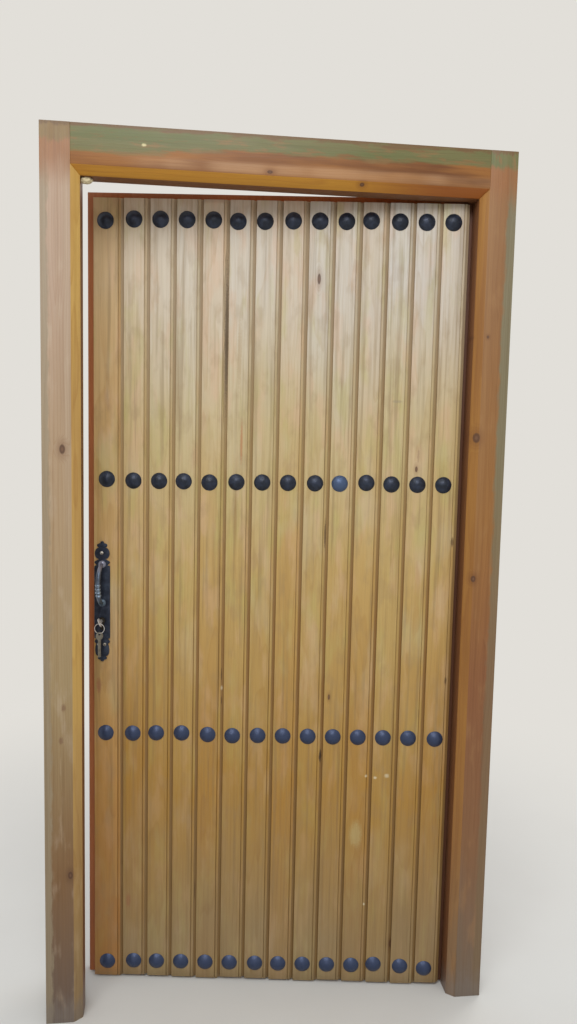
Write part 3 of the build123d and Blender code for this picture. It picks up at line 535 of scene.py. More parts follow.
def jamb_material(side, levels, knots, marks, name):
    """A jamb: its face, its golden chamfer, and painted shade inside its stops."""
    finish = Finish(name)
    point = finish.point
    x, y, z = finish.split(point)
    wood = grain(finish, point, 4.7 + side, knots=knots)
    outer = finish.times(x, side)
    drift = finish.cloud(point, (22, 22, 1.5), 3)
    ragged = finish.cloud(point, (60, 60, 18), 5, 0.65)
    level = finish.plus(finish.math("ADD", z, -0.15), drift, 0.3)
    tone = finish.ramp(finish.times(level, 1 / jamb_tones_top), *levels)
    cloud = finish.cloud(point, (34, 34, 9), 4, move=(0, 2, 0))
    if side < 0:
        pale, light_gold, dark_gold = srgb(190, 170, 146), srgb(206, 166, 88), srgb(186, 144, 80)
    else:
        pale, light_gold, dark_gold = srgb(160, 118, 72), srgb(162, 112, 44), srgb(144, 94, 36)
    tone = finish.over(tone, pale, finish.rise(cloud, 0.52, 0.7), 0.35)
    # A pale painted sheen along the face next to the chamfer, higher up
    inner = finish.band(outer, 0.492, 0.510, 0.008)
    tone = finish.over(tone, pale, inner, finish.times(finish.rise(z, 0.9, 1.6), 0.35))
    gold = finish.blend(finish.rise(drift, 0.35, 0.65), light_gold, dark_gold)
    strength = finish.math("MULTIPLY_ADD", finish.rise(z, 0.1, 0.9), 0.65, 0.35)
    tone = finish.over(tone, gold, finish.below(outer, chamfer_edge), strength)
    # Painted shade on the faces inside the stops, behind the chamfer
    inside = finish.above(y, shade_depth, 0.001)
    tone = finish.over(tone, colours().stop, inside, finish.below(outer, shade_edge))
    # Pale traces and old paint along the outer edge, ragged and thin
    reach = finish.math("MULTIPLY_ADD", ragged, -0.03, outer)
    if side < 0:
        coat, skin = finish.rise(reach, 0.526, 0.534), srgb(148, 132, 106)
    else:
        coat = finish.rise(reach, 0.520, 0.530)
        skin = finish.blend(finish.rise(z, 0.8, 1.5), srgb(122, 98, 68), srgb(120, 118, 92))
    tone = finish.over(tone, skin, coat, 0.8)
    # The upper end has the head's oil and paint
    upper = finish.rise(finish.plus(z, cloud, 0.08), 2.06, 2.15)
    oiled = finish.times(finish.above(outer, chamfer_edge), upper)
    tone = finish.over(tone, srgb(146, 94, 46), oiled, 0.85)
    tone = coated(finish, tone, 0.0, drift, ragged, side < 0)
    tone = finish.marked(point, tone, marks)
    foot = finish.rise(finish.plus(z, ragged, 0.12), 0.15, 0.07)
    tone = finish.over(tone, srgb(122, 112, 104), foot, 0.6)
    return wooded(finish, tone, wood, contrast=0.8)


def head_material():
    """The head, with a painted sheen along its lower edge and green old paint along the top."""
    tints = colours()
    finish = Finish("head_pine")
    point = finish.point
    x, y, z = finish.split(point)
    knots = [((-0.0395, 2.089), 0.007, 0.004), ((0.1805, 2.0746), 0.006, 0.004)]
    wood = grain(finish, point, 2.9, along="X", knots=knots)
    drift = finish.cloud(point, (3, 22, 22), 3)
    ragged = finish.cloud(point, (11, 60, 60), 5, 0.65)
    darker = finish.blend(finish.rise(x, -0.2, 0.5), srgb(128, 78, 28), srgb(106, 60, 20))
    tone = finish.blend(finish.rise(drift, 0.38, 0.62), darker, tints.head)
    # A painted sheen in lumps along the lower edge of the face, but for its left end
    lumps = finish.rise(finish.cloud(point, (6, 1, 1), 2), 0.3, 0.6)
    lower = finish.band(z, 2.083, 2.106, 0.006)
    shine = finish.times(finish.times(lower, finish.rise(x, -0.4, -0.25)), lumps)
    tone = finish.over(tone, srgb(190, 148, 108), shine, 0.6)
    gold = finish.blend(finish.rise(x, 0.1, 0.4), tints.chamfer, srgb(156, 86, 16))
    tone = finish.blend(finish.below(z, head_chamfer_edge), tone, gold)
    # Painted shade on the faces inside the stops, behind the chamfer
    inside = finish.above(y, shade_depth, 0.001)
    tone = finish.over(tone, tints.stop, inside, finish.below(z, head_shade_edge))
    # Painted daylight: the soffit past the stops is lit bright orange below the chamfer
    daylit_soffit = finish.above(y, stop_depth)
    tone = finish.over(tone, srgb(206, 122, 54), daylit_soffit, finish.below(z, 2.0785))
    tone = coated(finish, tone, finish.rise(x, -0.1, -0.4), drift, ragged, False)
    chip = [((-0.3291, 2.1314), 0.006, 0.0035, srgb(216, 202, 152), 0.85)]
    tone = finish.marked(point, tone, chip)
    return wooded(finish, tone, wood, contrast=0.8)


def backing_material():
    """Red-brown stained pine of the stiles and rails, darkened on its front by painted shade."""
    finish = Finish("backing_pine")
    point = finish.closed_door()
    x, y = finish.split(point)[:2]
    wood = grain(finish, point, 9.1)
    drift = finish.rise(finish.cloud(point, (8, 8, 1.6), 3), 0.3, 0.7)
    tone = finish.blend(drift, colours().backing_stain_and_shade, srgb(178, 104, 54))
    # Painted shade on the front of the right margin, in the dark gap by the hinge jamb
    painted_shade_margin = finish.times(finish.rise(x, 0.455, 0.462), finish.rise(y, 0.07, 0.065))
    tone = finish.over(tone, srgb(84, 52, 34), painted_shade_margin, 0.9)
    # The back face takes the unshaded tone, the front ones keep the red-brown with its painted
    # shade
    tone = finish.over(tone, srgb(150, 104, 60), finish.rise(y, 0.088, 0.0905), 0.8)
    return wooded(finish, tone, wood, contrast=0.8)


def iron_material(name, tint, worn, sheen, metal, dust_and_reflection=None, painted=()):
    """Blackened iron: mottled and a little rusty, and, where asked, bluer and paler low down by a
    painted sky reflection with some dust.
    """
    finish = Finish(name)
    point = finish.point
    cloud = finish.noise(point, scale=55, detail=4, roughness=0.6)
    fine = finish.noise(point, scale=420, detail=3, roughness=0.65)
    tone = finish.blend(finish.rise(cloud, 0.35, 0.7), tint, worn)
    rust = finish.rise(finish.times(cloud, fine), 0.36, 0.46)
    tone = finish.over(tone, srgb(96, 62, 44), rust, 0.35)
    if dust_and_reflection:
        tone = finish.over(tone, dust_and_reflection, finish.rise(finish.split(point)[2], 1.3, 0.6), 0.8)
    finish.set("Base Color", finish.marked(finish.closed_door(), tone, painted))
    finish.set("Metallic", metal)
    finish.set("Roughness", finish.math("MULTIPLY_ADD", fine, 0.3, sheen))
    finish.relief(finish.plus(fine, cloud, 1.5), 0.0005, 0.5)
    return finish.material


def bright_material(name, tint, dull, rough, metal=1.0):
    """Steel or brass: brushed, with handling marks and dull patches."""
    finish = Finish(name)
    brushed = finish.cloud(finish.point, (40, 40, 900), 3, 0.6)
    patch = finish.noise(finish.point, scale=90, detail=4, roughness=0.55)
    tone = finish.blend(finish.rise(patch, 0.42, 0.7), tint, dull)
    tone = finish.blend(1.0, tone, finish.ramp(brushed, (0.3, 0.86), (0.7, 1.0)), "MULTIPLY")
    finish.set("Base Color", tone)
    finish.set("Metallic", metal)
    finish.set("Roughness", finish.math("MULTIPLY_ADD", patch, 0.3, rough))
    finish.relief(brushed, 0.0002, 0.35)
    return finish.material


def filler_material():
    """Chalky filler."""
    finish = Finish("chalky_filler")
    lumps = finish.noise(finish.point, scale=260, detail=4, roughness=0.6)
    finish.set("Base Color", finish.blend(lumps, srgb(186, 166, 120), srgb(224, 212, 178)))
    finish.set("Roughness", finish.math("MULTIPLY_ADD", lumps, 0.1, 0.78))
    finish.relief(lumps, 0.001, 0.6)
    return finish.material


# Shapes


def welded(node):
    """A copy of a CAD piece with its doubled corners joined."""
    mesh = bmesh.new()
    mesh.from_mesh(frame["nodes"][node].data)
    bmesh.ops.remove_doubles(mesh, verts=mesh.verts, dist=2e-6)
    return mesh


def clean_copy(node):
    """A copy of a CAD piece as one closed mesh, with its flat faces whole."""
    mesh = welded(node)
    bmesh.ops.dissolve_limit(
        mesh,
        angle_limit=radians(0.4),
        verts=mesh.verts,
        edges=mesh.edges,
        use_dissolve_boundaries=False,
    )
    return mesh


def corners(points):
    """The low and the high corner of the box round some points."""
    return [
        Vector([pick(point[axis] for point in points) for axis in range(3)]) for pick in (min, max)
    ]


def shut_points(node):
    """The corners of a CAD piece, on the closed door."""
    return [closed @ vertex.co for vertex in frame["nodes"][node].data.vertices]


def shaded(data, angle):
    """Shade a mesh smoothly, but for the edges that are sharper than an angle."""
    for polygon in data.polygons:
        polygon.use_smooth = True
    data.set_sharp_from_angle(angle=radians(angle))


def new_piece(name, mesh, material, smooth=35):
    """A finished object at the origin from a bmesh."""
    data = bpy.data.meshes.new(name)
    mesh.to_mesh(data)
    mesh.free()
    shaded(data, smooth)
    data.materials.append(material)
    piece = bpy.data.objects.new(name, data)
    bpy.context.scene.collection.objects.link(piece)
    return piece


def made_plain(piece):
    """Turn what the modifiers make into the piece's own mesh."""
    graph = bpy.context.evaluated_depsgraph_get()
    data = bpy.data.meshes.new_from_object(piece.evaluated_get(graph))
    old = piece.data
    piece.modifiers.clear()
    piece.data = data
    data.name = piece.name
    if old.users == 0:
        bpy.data.meshes.remove(old)


def rounded(piece, width):
    """Round a piece's arrises."""
    bevel = piece.modifiers.new("Arris", "BEVEL")
    bevel.width = width
    bevel.segments = 2
    bevel.limit_method = "ANGLE"
    bevel.angle_limit = radians(38)
    bevel.miter_outer = "MITER_ARC"
    made_plain(piece)
    shaded(piece.data, 50)


def dressed(node, material, width, waver=0.0, step=0.06, shape=None):
    """A CAD piece again, with rounded arrises and faces that waver a little, in its place."""
    mesh = clean_copy(node)
    if waver or shape:
        low = min(v.co.z for v in mesh.verts)
        high = max(v.co.z for v in mesh.verts)
        count = int((high - low) / step)
        for index in range(1, count):
            bmesh.ops.bisect_plane(
                mesh,
                geom=[*mesh.verts, *mesh.edges, *mesh.faces],
                plane_co=(0, 0, low + (high - low) * index / count),
                plane_no=(0, 0, 1),
                dist=1e-6,
            )
        for vertex in mesh.verts:
            x, y, z = vertex.co
            vertex.co.x += waver * noise.noise(Vector((x * 11, y * 30, z * 5)))
    if shape:
        shape(mesh)
    piece = new_piece(node + "_dressed", mesh, material)
    rounded(piece, width)
    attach(piece, frame["nodes"][node]["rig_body"])
    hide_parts(node)


def torn_bead(mesh):
    """Tear the bead of the fifth board back to its quirk over a stretch of its height."""
    torn_from, torn_to, ends = 1.50, 1.935, 0.03
    start = min((closed @ vertex.co).x for vertex in mesh.verts) + 0.052
    for vertex in mesh.verts:
        point = closed @ vertex.co
        across = point.x - start
        if not (0.0002 < across < 0.0065 and point.y < 0.0465):
            continue
        inside = min(point.z - torn_from, torn_to - point.z) / ends
        if inside <= 0:
            continue
        rough = 0.6 + 0.45 * noise.noise(Vector((3.1, 0, point.z * 23)))
        rough += 0.25 * noise.noise(Vector((7.7, 0, point.z * 90)))
        torn = min(1, inside) * max(0.1, min(0.95, rough))
        point.x -= across * torn
        point.y += 0.0012 * torn
        vertex.co = opened @ point


def repaint(node, material):
    """Give a CAD piece its finish."""
    slots = frame["nodes"][node].data.materials
    slots.clear()
    slots.append(material)


slot_members = {
    "frame_pine_latch_side": ["latch_jamb"],
    "frame_pine_hinge_side": ["hinge_jamb"],
    "frame_pine_head": ["frame_head"],
    **{name: [name] for name in board_names},
    "backing_wood": ["latch_stile", "hinge_stile", "rail_1", "rail_2", "rail_3", "rail_4"],
    "hinge_steel": [
        f"{kind}_{number}"
        for kind in ("hinge_frame_plate", "hinge_leaf_plate", "hinge_pin")
        for number in (1, 2, 3)
    ],
    "lock_steel": ["deadbolt", "faceplate", "strike_plate"],
    "key_steel": ["key", "spare_key"],
}


def islands(node):
    """The corners of each separate solid of a CAD piece."""
    mesh = welded(node)
    found = []
    seen = set()
    for start in mesh.verts:
        if start.index in seen:
            continue
        seen.add(start.index)
        group = [start]
        for vertex in group:
            for edge in vertex.link_edges:
                other = edge.other_vert(vertex)
                if other.index not in seen:
                    seen.add(other.index)
                    group.append(other)
        found.append([vertex.co.copy() for vertex in group])
    mesh.free()
    return found


class Tree:
    """A geometry tree that is being put together, with its named inputs."""

    def __init__(self, name):
        self.tree = bpy.data.node_groups.new(name, "GeometryNodeTree")
        for way in ("INPUT", "OUTPUT"):
            self.tree.interface.new_socket(
                "Geometry", in_out=way, socket_type="NodeSocketGeometry"
            )
        self.entry = self.tree.nodes.new("NodeGroupInput")
        self.exit = self.tree.nodes.new("NodeGroupOutput")
        self.values = {}

    def input(self, name, value, kind="NodeSocketFloat"):
        socket = self.tree.interface.new_socket(name, in_out="INPUT", socket_type=kind)
        self.values[socket.identifier] = value
        return next(s for s in self.entry.outputs if s.identifier == socket.identifier)

    def add(self, kind, inputs=(), **values):
        """A node, its settings, and its inputs by name or place."""
        node = self.tree.nodes.new(kind)
        for key, value in values.items():
            setattr(node, key, value)
        for key, value in dict(inputs).items():
            if isinstance(value, bpy.types.NodeSocket):
                self.tree.links.new(value, node.inputs[key])
            else:
                node.inputs[key].default_value = value
        return node

    def made(self, kind, inputs=(), **values):
        """What a new node gives first."""
        return self.add(kind, inputs, **values).outputs[0]

    def math(self, operation, *values):
        return self.made("ShaderNodeMath", dict(enumerate(values)), operation=operation)

    def vector(self, x=0.0, y=0.0, z=0.0):
        return self.made("ShaderNodeCombineXYZ", {0: x, 1: y, 2: z})

    def place(self):
        """Where the points of a shape lie, as x, y and z."""
        position = self.made("GeometryNodeInputPosition")
        return self.add("ShaderNodeSeparateXYZ", {0: position}).outputs

    def attribute(self, name, kind="FLOAT_VECTOR"):
        node = self.add("GeometryNodeInputNamedAttribute", {"Name": name}, data_type=kind)
        return node.outputs["Attribute"]

    def stored(self, geometry, name, value, kind):
        return self.made(
            "GeometryNodeStoreNamedAttribute",
            {"Geometry": geometry, "Name": name, "Value": value},
            data_type=kind,
            domain="POINT",
        )

    def reshaped(self, geometry, x, y, z):
        """A shape with its points at new places."""
        place = self.vector(x, y, z)
        return self.made("GeometryNodeSetPosition", {"Geometry": geometry, "Position": place})

    def moved(self, geometry, **inputs):
        return self.made("GeometryNodeTransform", {"Geometry": geometry, **inputs})

    def join(self, *geometries):
        node = self.tree.nodes.new("GeometryNodeJoinGeometry")
        for geometry in geometries:
            self.tree.links.new(geometry, node.inputs[0])
        return node.outputs[0]

    def whole(self, geometry):
        return self.made("GeometryNodeRealizeInstances", {"Geometry": geometry})

    def facing(self, name):
        """The turn that lays a shape's own Z along an attribute."""
        inputs = {"Vector": self.attribute(name)}
        return self.made("FunctionNodeAlignRotationToVector", inputs, axis="Z")

    def copied(self, points, shape, turn, **inputs):
        """The shape on each point."""
        inputs = {"Points": points, "Instance": shape, "Rotation": turn, **inputs}
        return self.made("GeometryNodeInstanceOnPoints", inputs)

    def crown(self, radius, rise, rim, sink, subdivisions):
        """A closed domed disc: a low crown above the rim, and flat or tapered below it."""
        inputs = {"Radius": 1.0, "Subdivisions": subdivisions}
        ball = self.made("GeometryNodeMeshIcoSphere", inputs)
        x, y, z = self.place()
        square = self.math("MULTIPLY_ADD", x, x, self.math("MULTIPLY", y, y))
        share = self.math("SQRT", square)
        top = self.math("SUBTRACT", 1.0, self.math("MULTIPLY", share, share))
        top = self.math("MULTIPLY_ADD", top, rise, rim)
        under = self.math("MULTIPLY", self.math("SUBTRACT", share, 1.0), sink)
        above = self.math("GREATER_THAN", z, -0.001)
        shaped = self.reshaped(
            ball,
            self.math("MULTIPLY", x, radius),
            self.math("MULTIPLY", y, radius),
            self.math("MULTIPLY_ADD", above, self.math("SUBTRACT", top, under), under),
        )
        return self.stored(shaped, "crown", above, "FLOAT")

    def on_points(self, shape, seed):
        """The shape on each point, its own Z along the point's facing, spun at random."""
        inputs = {"Min": -pi, "Max": pi, "Seed": seed}
        random = self.add("FunctionNodeRandomValue", inputs, data_type="FLOAT")
        angle = next(s for s in random.outputs if s.enabled and s.type == "VALUE")
        inputs = {"Axis": (0, 0, 1), "Angle": angle}
        spin = self.made("FunctionNodeAxisAngleToRotation", inputs)
        inputs = {"Rotation": self.facing("facing"), "Rotate By": spin}
        turned = self.made("FunctionNodeRotateRotation", inputs, rotation_space="LOCAL")
        return self.whole(self.copied(self.entry.outputs["Geometry"], shape, turned))

    def end(self, geometry, material):
        """Finish the tree with a plain mesh of one material."""
        smooth = self.made("GeometryNodeSetShadeSmooth", {"Geometry": geometry})
        inputs = {"Geometry": smooth, "Material": material}
        painted = self.made("GeometryNodeSetMaterial", inputs)
        self.tree.links.new(painted, self.exit.inputs[0])

    def grow(self, name, data):
        """Run the tree on a mesh of points or lines, and keep the result as a plain piece."""
        piece = bpy.data.objects.new(name, data)
        bpy.context.scene.collection.objects.link(piece)
        modifier = piece.modifiers.new("Tree", "NODES")
        modifier.node_group = self.tree
        for identifier, value in self.values.items():
            modifier[identifier] = value
        made_plain(piece)
        piece.data.set_sharp_from_angle(angle=radians(40))
        return piece


def points_mesh(name, places, facing, edges=()):
    """Points for a tree, joined by edges if it needs a line, and the way they face."""
    data = bpy.data.meshes.new(name)
    data.from_pydata([tuple(place) for place in places], edges, [])
    attribute = data.attributes.new("facing", "FLOAT_VECTOR", "POINT")
    attribute.data.foreach_set("vector", [*facing] * len(places))
    return data


def grow_nails(places, material):
    """Domed, hammered heads on square tapered shanks."""
    size = sizes()
    tree = Tree("Domed nails")
    radius = tree.input("Head radius", size.nail_radius)
    rise = tree.input("Head height", size.nail_height)
    rim = tree.input("Rim", size.nail_rim)
    depth = tree.input("Hammering", size.nail_hammering)
    shank = tree.input("Shank width", 0.005)
    length = tree.input("Shank length", 0.040)
    seed = tree.input("Seed", size.seed, "NodeSocketInt")
    iron = tree.input("Iron", material, "NodeSocketMaterial")
    head = tree.crown(radius, rise, rim, 0.0, 5)
    cube = tree.made("GeometryNodeMeshCube", {"Size": tree.vector(shank, shank, length)})
    x, y, z = tree.place()
    taper = tree.math("MULTIPLY_ADD", tree.math("DIVIDE", z, length), 0.6, 0.7)
    tapered = tree.reshaped(
        cube,
        tree.math("MULTIPLY", x, taper),
        tree.math("MULTIPLY", y, taper),
        tree.math("MULTIPLY_ADD", length, -0.5, tree.math("ADD", z, 0.0002)),
    )
    nails = tree.on_points(tree.join(head, tapered), seed)
    marks = tree.made("ShaderNodeTexNoise", {"Scale": 115.0, "Detail": 1.0})
    drop = tree.math("MULTIPLY", tree.math("SUBTRACT", marks, 0.62), depth)
    drop = tree.math("MULTIPLY", drop, tree.attribute("crown", "FLOAT"))
    inputs = {0: tree.made("GeometryNodeInputNormal"), 3: drop}
    offset = tree.made("ShaderNodeVectorMath", inputs, operation="SCALE")
    hammered = tree.made("GeometryNodeSetPosition", {"Geometry": nails, "Offset": offset})
    tree.end(hammered, iron)
    return tree.grow("domed_nails", points_mesh("nail points", places, outwards))


def grow_screws(name, places, facing, form, material):
    """Slotted screws: a crown, a slot and a shank."""
    rise, rim, sink, head, length = form
    tree = Tree(name)
    radius = tree.input("Head radius", head)
    height = tree.input("Head height", rise)
    edge = tree.input("Rim", rim)
    under = tree.input("Countersink", sink)
    shank = tree.input("Shank radius", 0.002)
    reach = tree.input("Shank length", length)
    slot = tree.input("Slot width", 0.0011)
    seed = tree.input("Seed", sizes().seed, "NodeSocketInt")
    steel = tree.input("Steel", material, "NodeSocketMaterial")
    crown = tree.crown(radius, height, edge, under, 3)
    size = tree.vector(tree.math("MULTIPLY", radius, 3.0), slot, tree.math("MULTIPLY", slot, 2.0))
    cut = tree.made("GeometryNodeMeshCube", {"Size": size})
    lift = tree.math("ADD", tree.math("ADD", height, edge), tree.math("MULTIPLY", slot, 0.1))
    lifted = tree.moved(cut, Translation=tree.vector(z=lift))
    inputs = {"Mesh 1": crown, "Mesh 2": lifted}
    slotted = tree.made("GeometryNodeMeshBoolean", inputs, operation="DIFFERENCE")
    inputs = {"Vertices": 14, "Radius": shank, "Depth": reach}
    rod = tree.made("GeometryNodeMeshCylinder", inputs)
    down = tree.vector(z=tree.math("MULTIPLY_ADD", reach, -0.5, -0.0003))
    lowered = tree.moved(rod, Translation=down)
    tree.end(tree.on_points(tree.join(slotted, lowered), seed), steel)
    return tree.grow(name, points_mesh(name + " points", places, facing))


# Runs of a plate's edge from its tip down to its foot, as the height and half width where each
# run ends, how wide it swells on the way, and how round (below 1) or pointed (above 1) it is
plate_runs = (
    (0.1536, 0.0045, 0.0045, 1),
    (0.1418, 0.0084, 0.0134, 0.7),
    (0.1119, 0.0084, 0.0192, 0.45),
    (0.0952, 0.0142, 0.0203, 1.5),
    (0.0895, 0.0205, 0.0205, 0.6),
    (-0.0925, 0.0205, 0.0205, 1),
    (-0.0978, 0.0145, 0.0205, 0.6),
    (-0.1128, 0.0145, 0.0200, 1.5),
    (-0.1450, 0.0086, 0.0184, 0.4),
    (-0.1545, 0.0045, 0.0120, 0.7),
    (-0.1585, 0.0000, 0.0045, 1),
)


def arc(centre, radius, start, end, steps):
    """Points along an arc, from its start up to and with its end."""
    angles = [start + (end - start) * step / steps for step in range(steps + 1)]
    return [(centre[0] + radius * cos(a), centre[1] + radius * sin(a)) for a in angles]


def plate_loops():
    """A plate's outline, with the holes for the lock barrel and the screws."""
    edge = [(0.1585, 0.0)]
    for height, half_width, peak, power in plate_runs:
        from_height, from_width = edge[-1]
        steps = 1 if peak == half_width and from_width == half_width else 14
        for step in range(1, steps + 1):
            share = step / steps
            width = from_width + (half_width - from_width) * share
            swell = (peak - width) * sin(pi * share) ** power
            edge.append((from_height + (height - from_height) * share, width + swell))
    right = [(width, height) for height, width in edge]
    left = [(-width, height) for height, width in reversed(edge[1:-1])]
    # The barrel is a round body with a narrower round web below it
    body, web, body_height, web_height = 0.0087, 0.0052, -0.050, -0.0695
    turn = asin(web / body)
    barrel = arc((0, body_height), body, turn - pi / 2, 3 * pi / 2 - turn, 32)
    barrel += arc((0, web_height), web, -pi, 0, 12)
    screw_radius = 0.0022
    screws = [
        arc(centre, screw_radius, 0, 2 * pi, 16)[:-1]
        for centre in ((0, 0.1276), (-0.0075, -0.1135), (0.0075, -0.1135))
    ]
    return [right + left, barrel, *screws]


def forge_plate(node, side, material):
    """A plate with a cusped outline, in the place of its CAD piece."""
    low, high = corners(shut_points(node))
    middle = (low + high) / 2
    loops = plate_loops()
    mesh = bmesh.new()
    faces = []
    for depth in (low.y, high.y):
        face = []
        for loop in loops:
            places = [(middle.x + side * across, depth, middle.z + up) for across, up in loop]
            face.append([mesh.verts.new(opened @ Vector(place)) for place in places])
        faces.append(face)
    triangles = geometry.tessellate_polygon(
        [[Vector((across, up, 0)) for across, up in loop] for loop in loops]
    )
    for face in faces:
        vertices = [vertex for loop in face for vertex in loop]
        for triangle in triangles:
            mesh.faces.new([vertices[index] for index in triangle])
    for first, second in zip(*faces):
        for index in range(len(first)):
            after = (index + 1) % len(first)
            mesh.faces.new((first[index], first[after], second[after], second[index]))
    bmesh.ops.recalc_face_normals(mesh, faces=mesh.faces)
    piece = new_piece(node + "_forged", mesh, material)
    rounded(piece, sizes().metal_arris)
    finish_piece(piece, "leaf", "plate_iron", node)


def grow_pull(name, path, facing, material):
    """A bowed bar with ribs below its middle and a domed boss at each end."""
    size = sizes()
    tree = Tree(name)
    bar = tree.input("Bar radius", size.pull_radius)
    rib_radius = tree.input("Rib radius", size.rib_radius)
    rib_width = tree.input("Rib width", 0.0058)
    pitch = tree.input("Rib pitch", rib_pitch)
    drop = tree.input("Rib drop", rib_drop)
    count = tree.input("Ribs", size.rib_count, "NodeSocketInt")
    boss = tree.input("Boss radius", 0.0098)
    boss_height = tree.input("Boss height", 0.0052)
    iron = tree.input("Iron", material, "NodeSocketMaterial")
    line = tree.made("GeometryNodeMeshToCurve", {"Mesh": tree.entry.outputs["Geometry"]})
    bulge = tree.math("SINE", tree.math("MULTIPLY", tree.made("GeometryNodeSplineParameter"), pi))
    swell = tree.math("MULTIPLY_ADD", bulge, 0.22, 0.86)
    ring = tree.made("GeometryNodeCurvePrimitiveCircle", {"Resolution": 20, "Radius": bar})
    inputs = {"Curve": line, "Profile Curve": ring, "Scale": swell, "Fill Caps": True}
    tube = tree.made("GeometryNodeCurveToMesh", inputs)
    span = tree.made("GeometryNodeCurveLength", {"Curve": line})
    middle = tree.math("MULTIPLY", tree.math("SUBTRACT", count, 1.0), 0.5)
    steps = tree.math("SUBTRACT", tree.made("GeometryNodeInputIndex"), middle)
    below = tree.math("ADD", tree.math("MULTIPLY", steps, pitch), drop)
    along = tree.math("SUBTRACT", tree.math("MULTIPLY", span, 0.5), below)
    sample = tree.add("GeometryNodeSampleCurve", {"Curves": line}, mode="LENGTH")
    tree.tree.links.new(along, sample.inputs["Length"])
    inputs = {"Count": count, "Position": sample.outputs["Position"]}
    points = tree.made("GeometryNodePoints", inputs)
    points = tree.stored(points, "tangent", sample.outputs["Tangent"], "FLOAT_VECTOR")
    ball = tree.made("GeometryNodeMeshIcoSphere", {"Radius": 1.0, "Subdivisions": 4})
    scale = tree.vector(rib_radius, rib_radius, tree.math("MULTIPLY", rib_width, 0.62))
    ribs = tree.copied(points, tree.moved(ball, Scale=scale), tree.facing("tangent"))
    crown = tree.crown(boss, boss_height, 0.0012, 0.0, 4)
    ends = tree.made("GeometryNodeCurveEndpointSelection")
    bosses = tree.copied(line, crown, tree.facing("facing"), Selection=ends)
    tree.end(tree.whole(tree.join(tube, ribs, bosses)), iron)
    edges = [(index, index + 1) for index in range(len(path) - 1)]
    return tree.grow(name, points_mesh(name + " path", path, facing, edges))


def torus(name, centre, axis, radius, wire, material):
    """A closed ring of round wire."""
    turns, sides = 72, 14
    mesh = bmesh.new()
    turn = Vector(axis).to_track_quat("Z", "Y").to_matrix()
    rows = []
    for step in range(turns):
        angle = 2 * pi * step / turns
        out = Vector((cos(angle), sin(angle), 0))
        row = []
        for corner in range(sides):
            lean = 2 * pi * corner / sides
            place = out * (radius + wire * cos(lean)) + Vector((0, 0, wire * sin(lean)))
            row.append(mesh.verts.new(Vector(centre) + turn @ place))
        rows.append(row)
    for step, row in enumerate(rows):
        after = rows[(step + 1) % len(rows)]
        for corner in range(sides):
            other = (corner + 1) % sides
            mesh.faces.new((row[corner], after[corner], after[other], row[other]))
    bmesh.ops.recalc_face_normals(mesh, faces=mesh.faces)
    return new_piece(name, mesh, material, smooth=80)


def finish_piece(piece, body, slot, *nodes):
    """Hang a piece on its body, in the place of its CAD pieces."""
    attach(piece, body)
    if nodes:
        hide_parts(*nodes)


def looked_at(tree):
    """1 for rays from the camera, and for those that a gloss or clear glass sends on."""
    rays = tree.nodes.new("ShaderNodeLightPath")
    seen = rays.outputs["Is Camera Ray"]
    for kind in ("Is Glossy Ray", "Is Transmission Ray"):
        node = tree.nodes.new("ShaderNodeMath")
        node.operation = "MAXIMUM"
        tree.links.new(seen, node.inputs[0])
        tree.links.new(rays.outputs[kind], node.inputs[1])
        seen = node.outputs[0]
    return seen


def mix_shaders(tree, factor, first, second, output):
    """Send a mix of two shaders to a material's or a world's output."""
    mixed = tree.nodes.new("ShaderNodeMixShader")
    for socket, source in zip(mixed.inputs, (factor, first.outputs[0], second.outputs[0])):
        tree.links.new(source, socket)
    tree.links.new(mixed.outputs[0], output.inputs["Surface"])


# Operators


class DOOR_OT_frame_timber(bpy.types.Operator):
    """Dress the two jambs and the head of the frame"""

    bl_idname = "door.frame_timber"
    bl_label = "Frame timber"

    def execute(self, context):
        tints = colours()
        arris = sizes().wood_arris
        latch_knots = [((-0.515, 1.436), 0.007, 0.012), ((-0.501, 0.388), 0.006, 0.010)]
        hinge_knots = [
            ((0.4885, 1.4827), 0.008, 0.013),
            ((0.4721, 1.7289), 0.002, 0.003),
            ((0.5052, 1.7300), 0.003, 0.004),
            ((0.4950, 1.1280), 0.006, 0.009),
        ]
        stain = srgb(116, 80, 58)
        latch_marks = [
            ((-0.5151, 0.8133), 0.006, 0.010, stain, 0.6),
            ((-0.5217, 0.7312), 0.006, 0.010, stain, 0.6),
        ]
        greyed = (
            (0.03, srgb(106, 86, 72)),
            (0.19, srgb(127, 93, 56)),
            (0.39, srgb(160, 137, 98)),
            (0.57, srgb(170, 143, 109)),
            (0.80, tints.latch_jamb),
        )
        oiled = (
            (0.05, srgb(118, 97, 77)),
            (0.19, srgb(130, 90, 55)),
            (0.39, srgb(134, 84, 46)),
            (0.57, srgb(150, 102, 47)),
            (0.80, tints.hinge_jamb),
        )
        latch = jamb_material(-1, greyed, latch_knots, latch_marks, "latch_jamb_pine")
        hinge = jamb_material(1, oiled, hinge_knots, (), "hinge_jamb_pine")
        dressed("latch_jamb", latch, arris)
        dressed("hinge_jamb", hinge, arris)
        dressed("frame_head", head_material(), arris)
        return {"FINISHED"}


class DOOR_OT_backing(bpy.types.Operator):
    """Dress the stiles and rails behind the boards"""

    bl_idname = "door.backing"
    bl_label = "Backing frame"

    def execute(self, context):
        stained = backing_material()
        for node in slot_members["backing_wood"]:
            dressed(node, stained, sizes().wood_arris)
        return {"FINISHED"}


class DOOR_OT_boards(bpy.types.Operator):
    """Dress the boards of the leaf"""

    bl_idname = "door.boards"
    bl_label = "Boards"

    def execute(self, context):
        for number, node in enumerate(board_names, start=1):
            torn = number == 5
            dressed(
                node,
                board_material(number),
                sizes().board_arris,
                waver=sizes().board_waver,
                step=0.012 if torn else 0.06,
                shape=torn_bead if torn else None,
            )
        return {"FINISHED"}


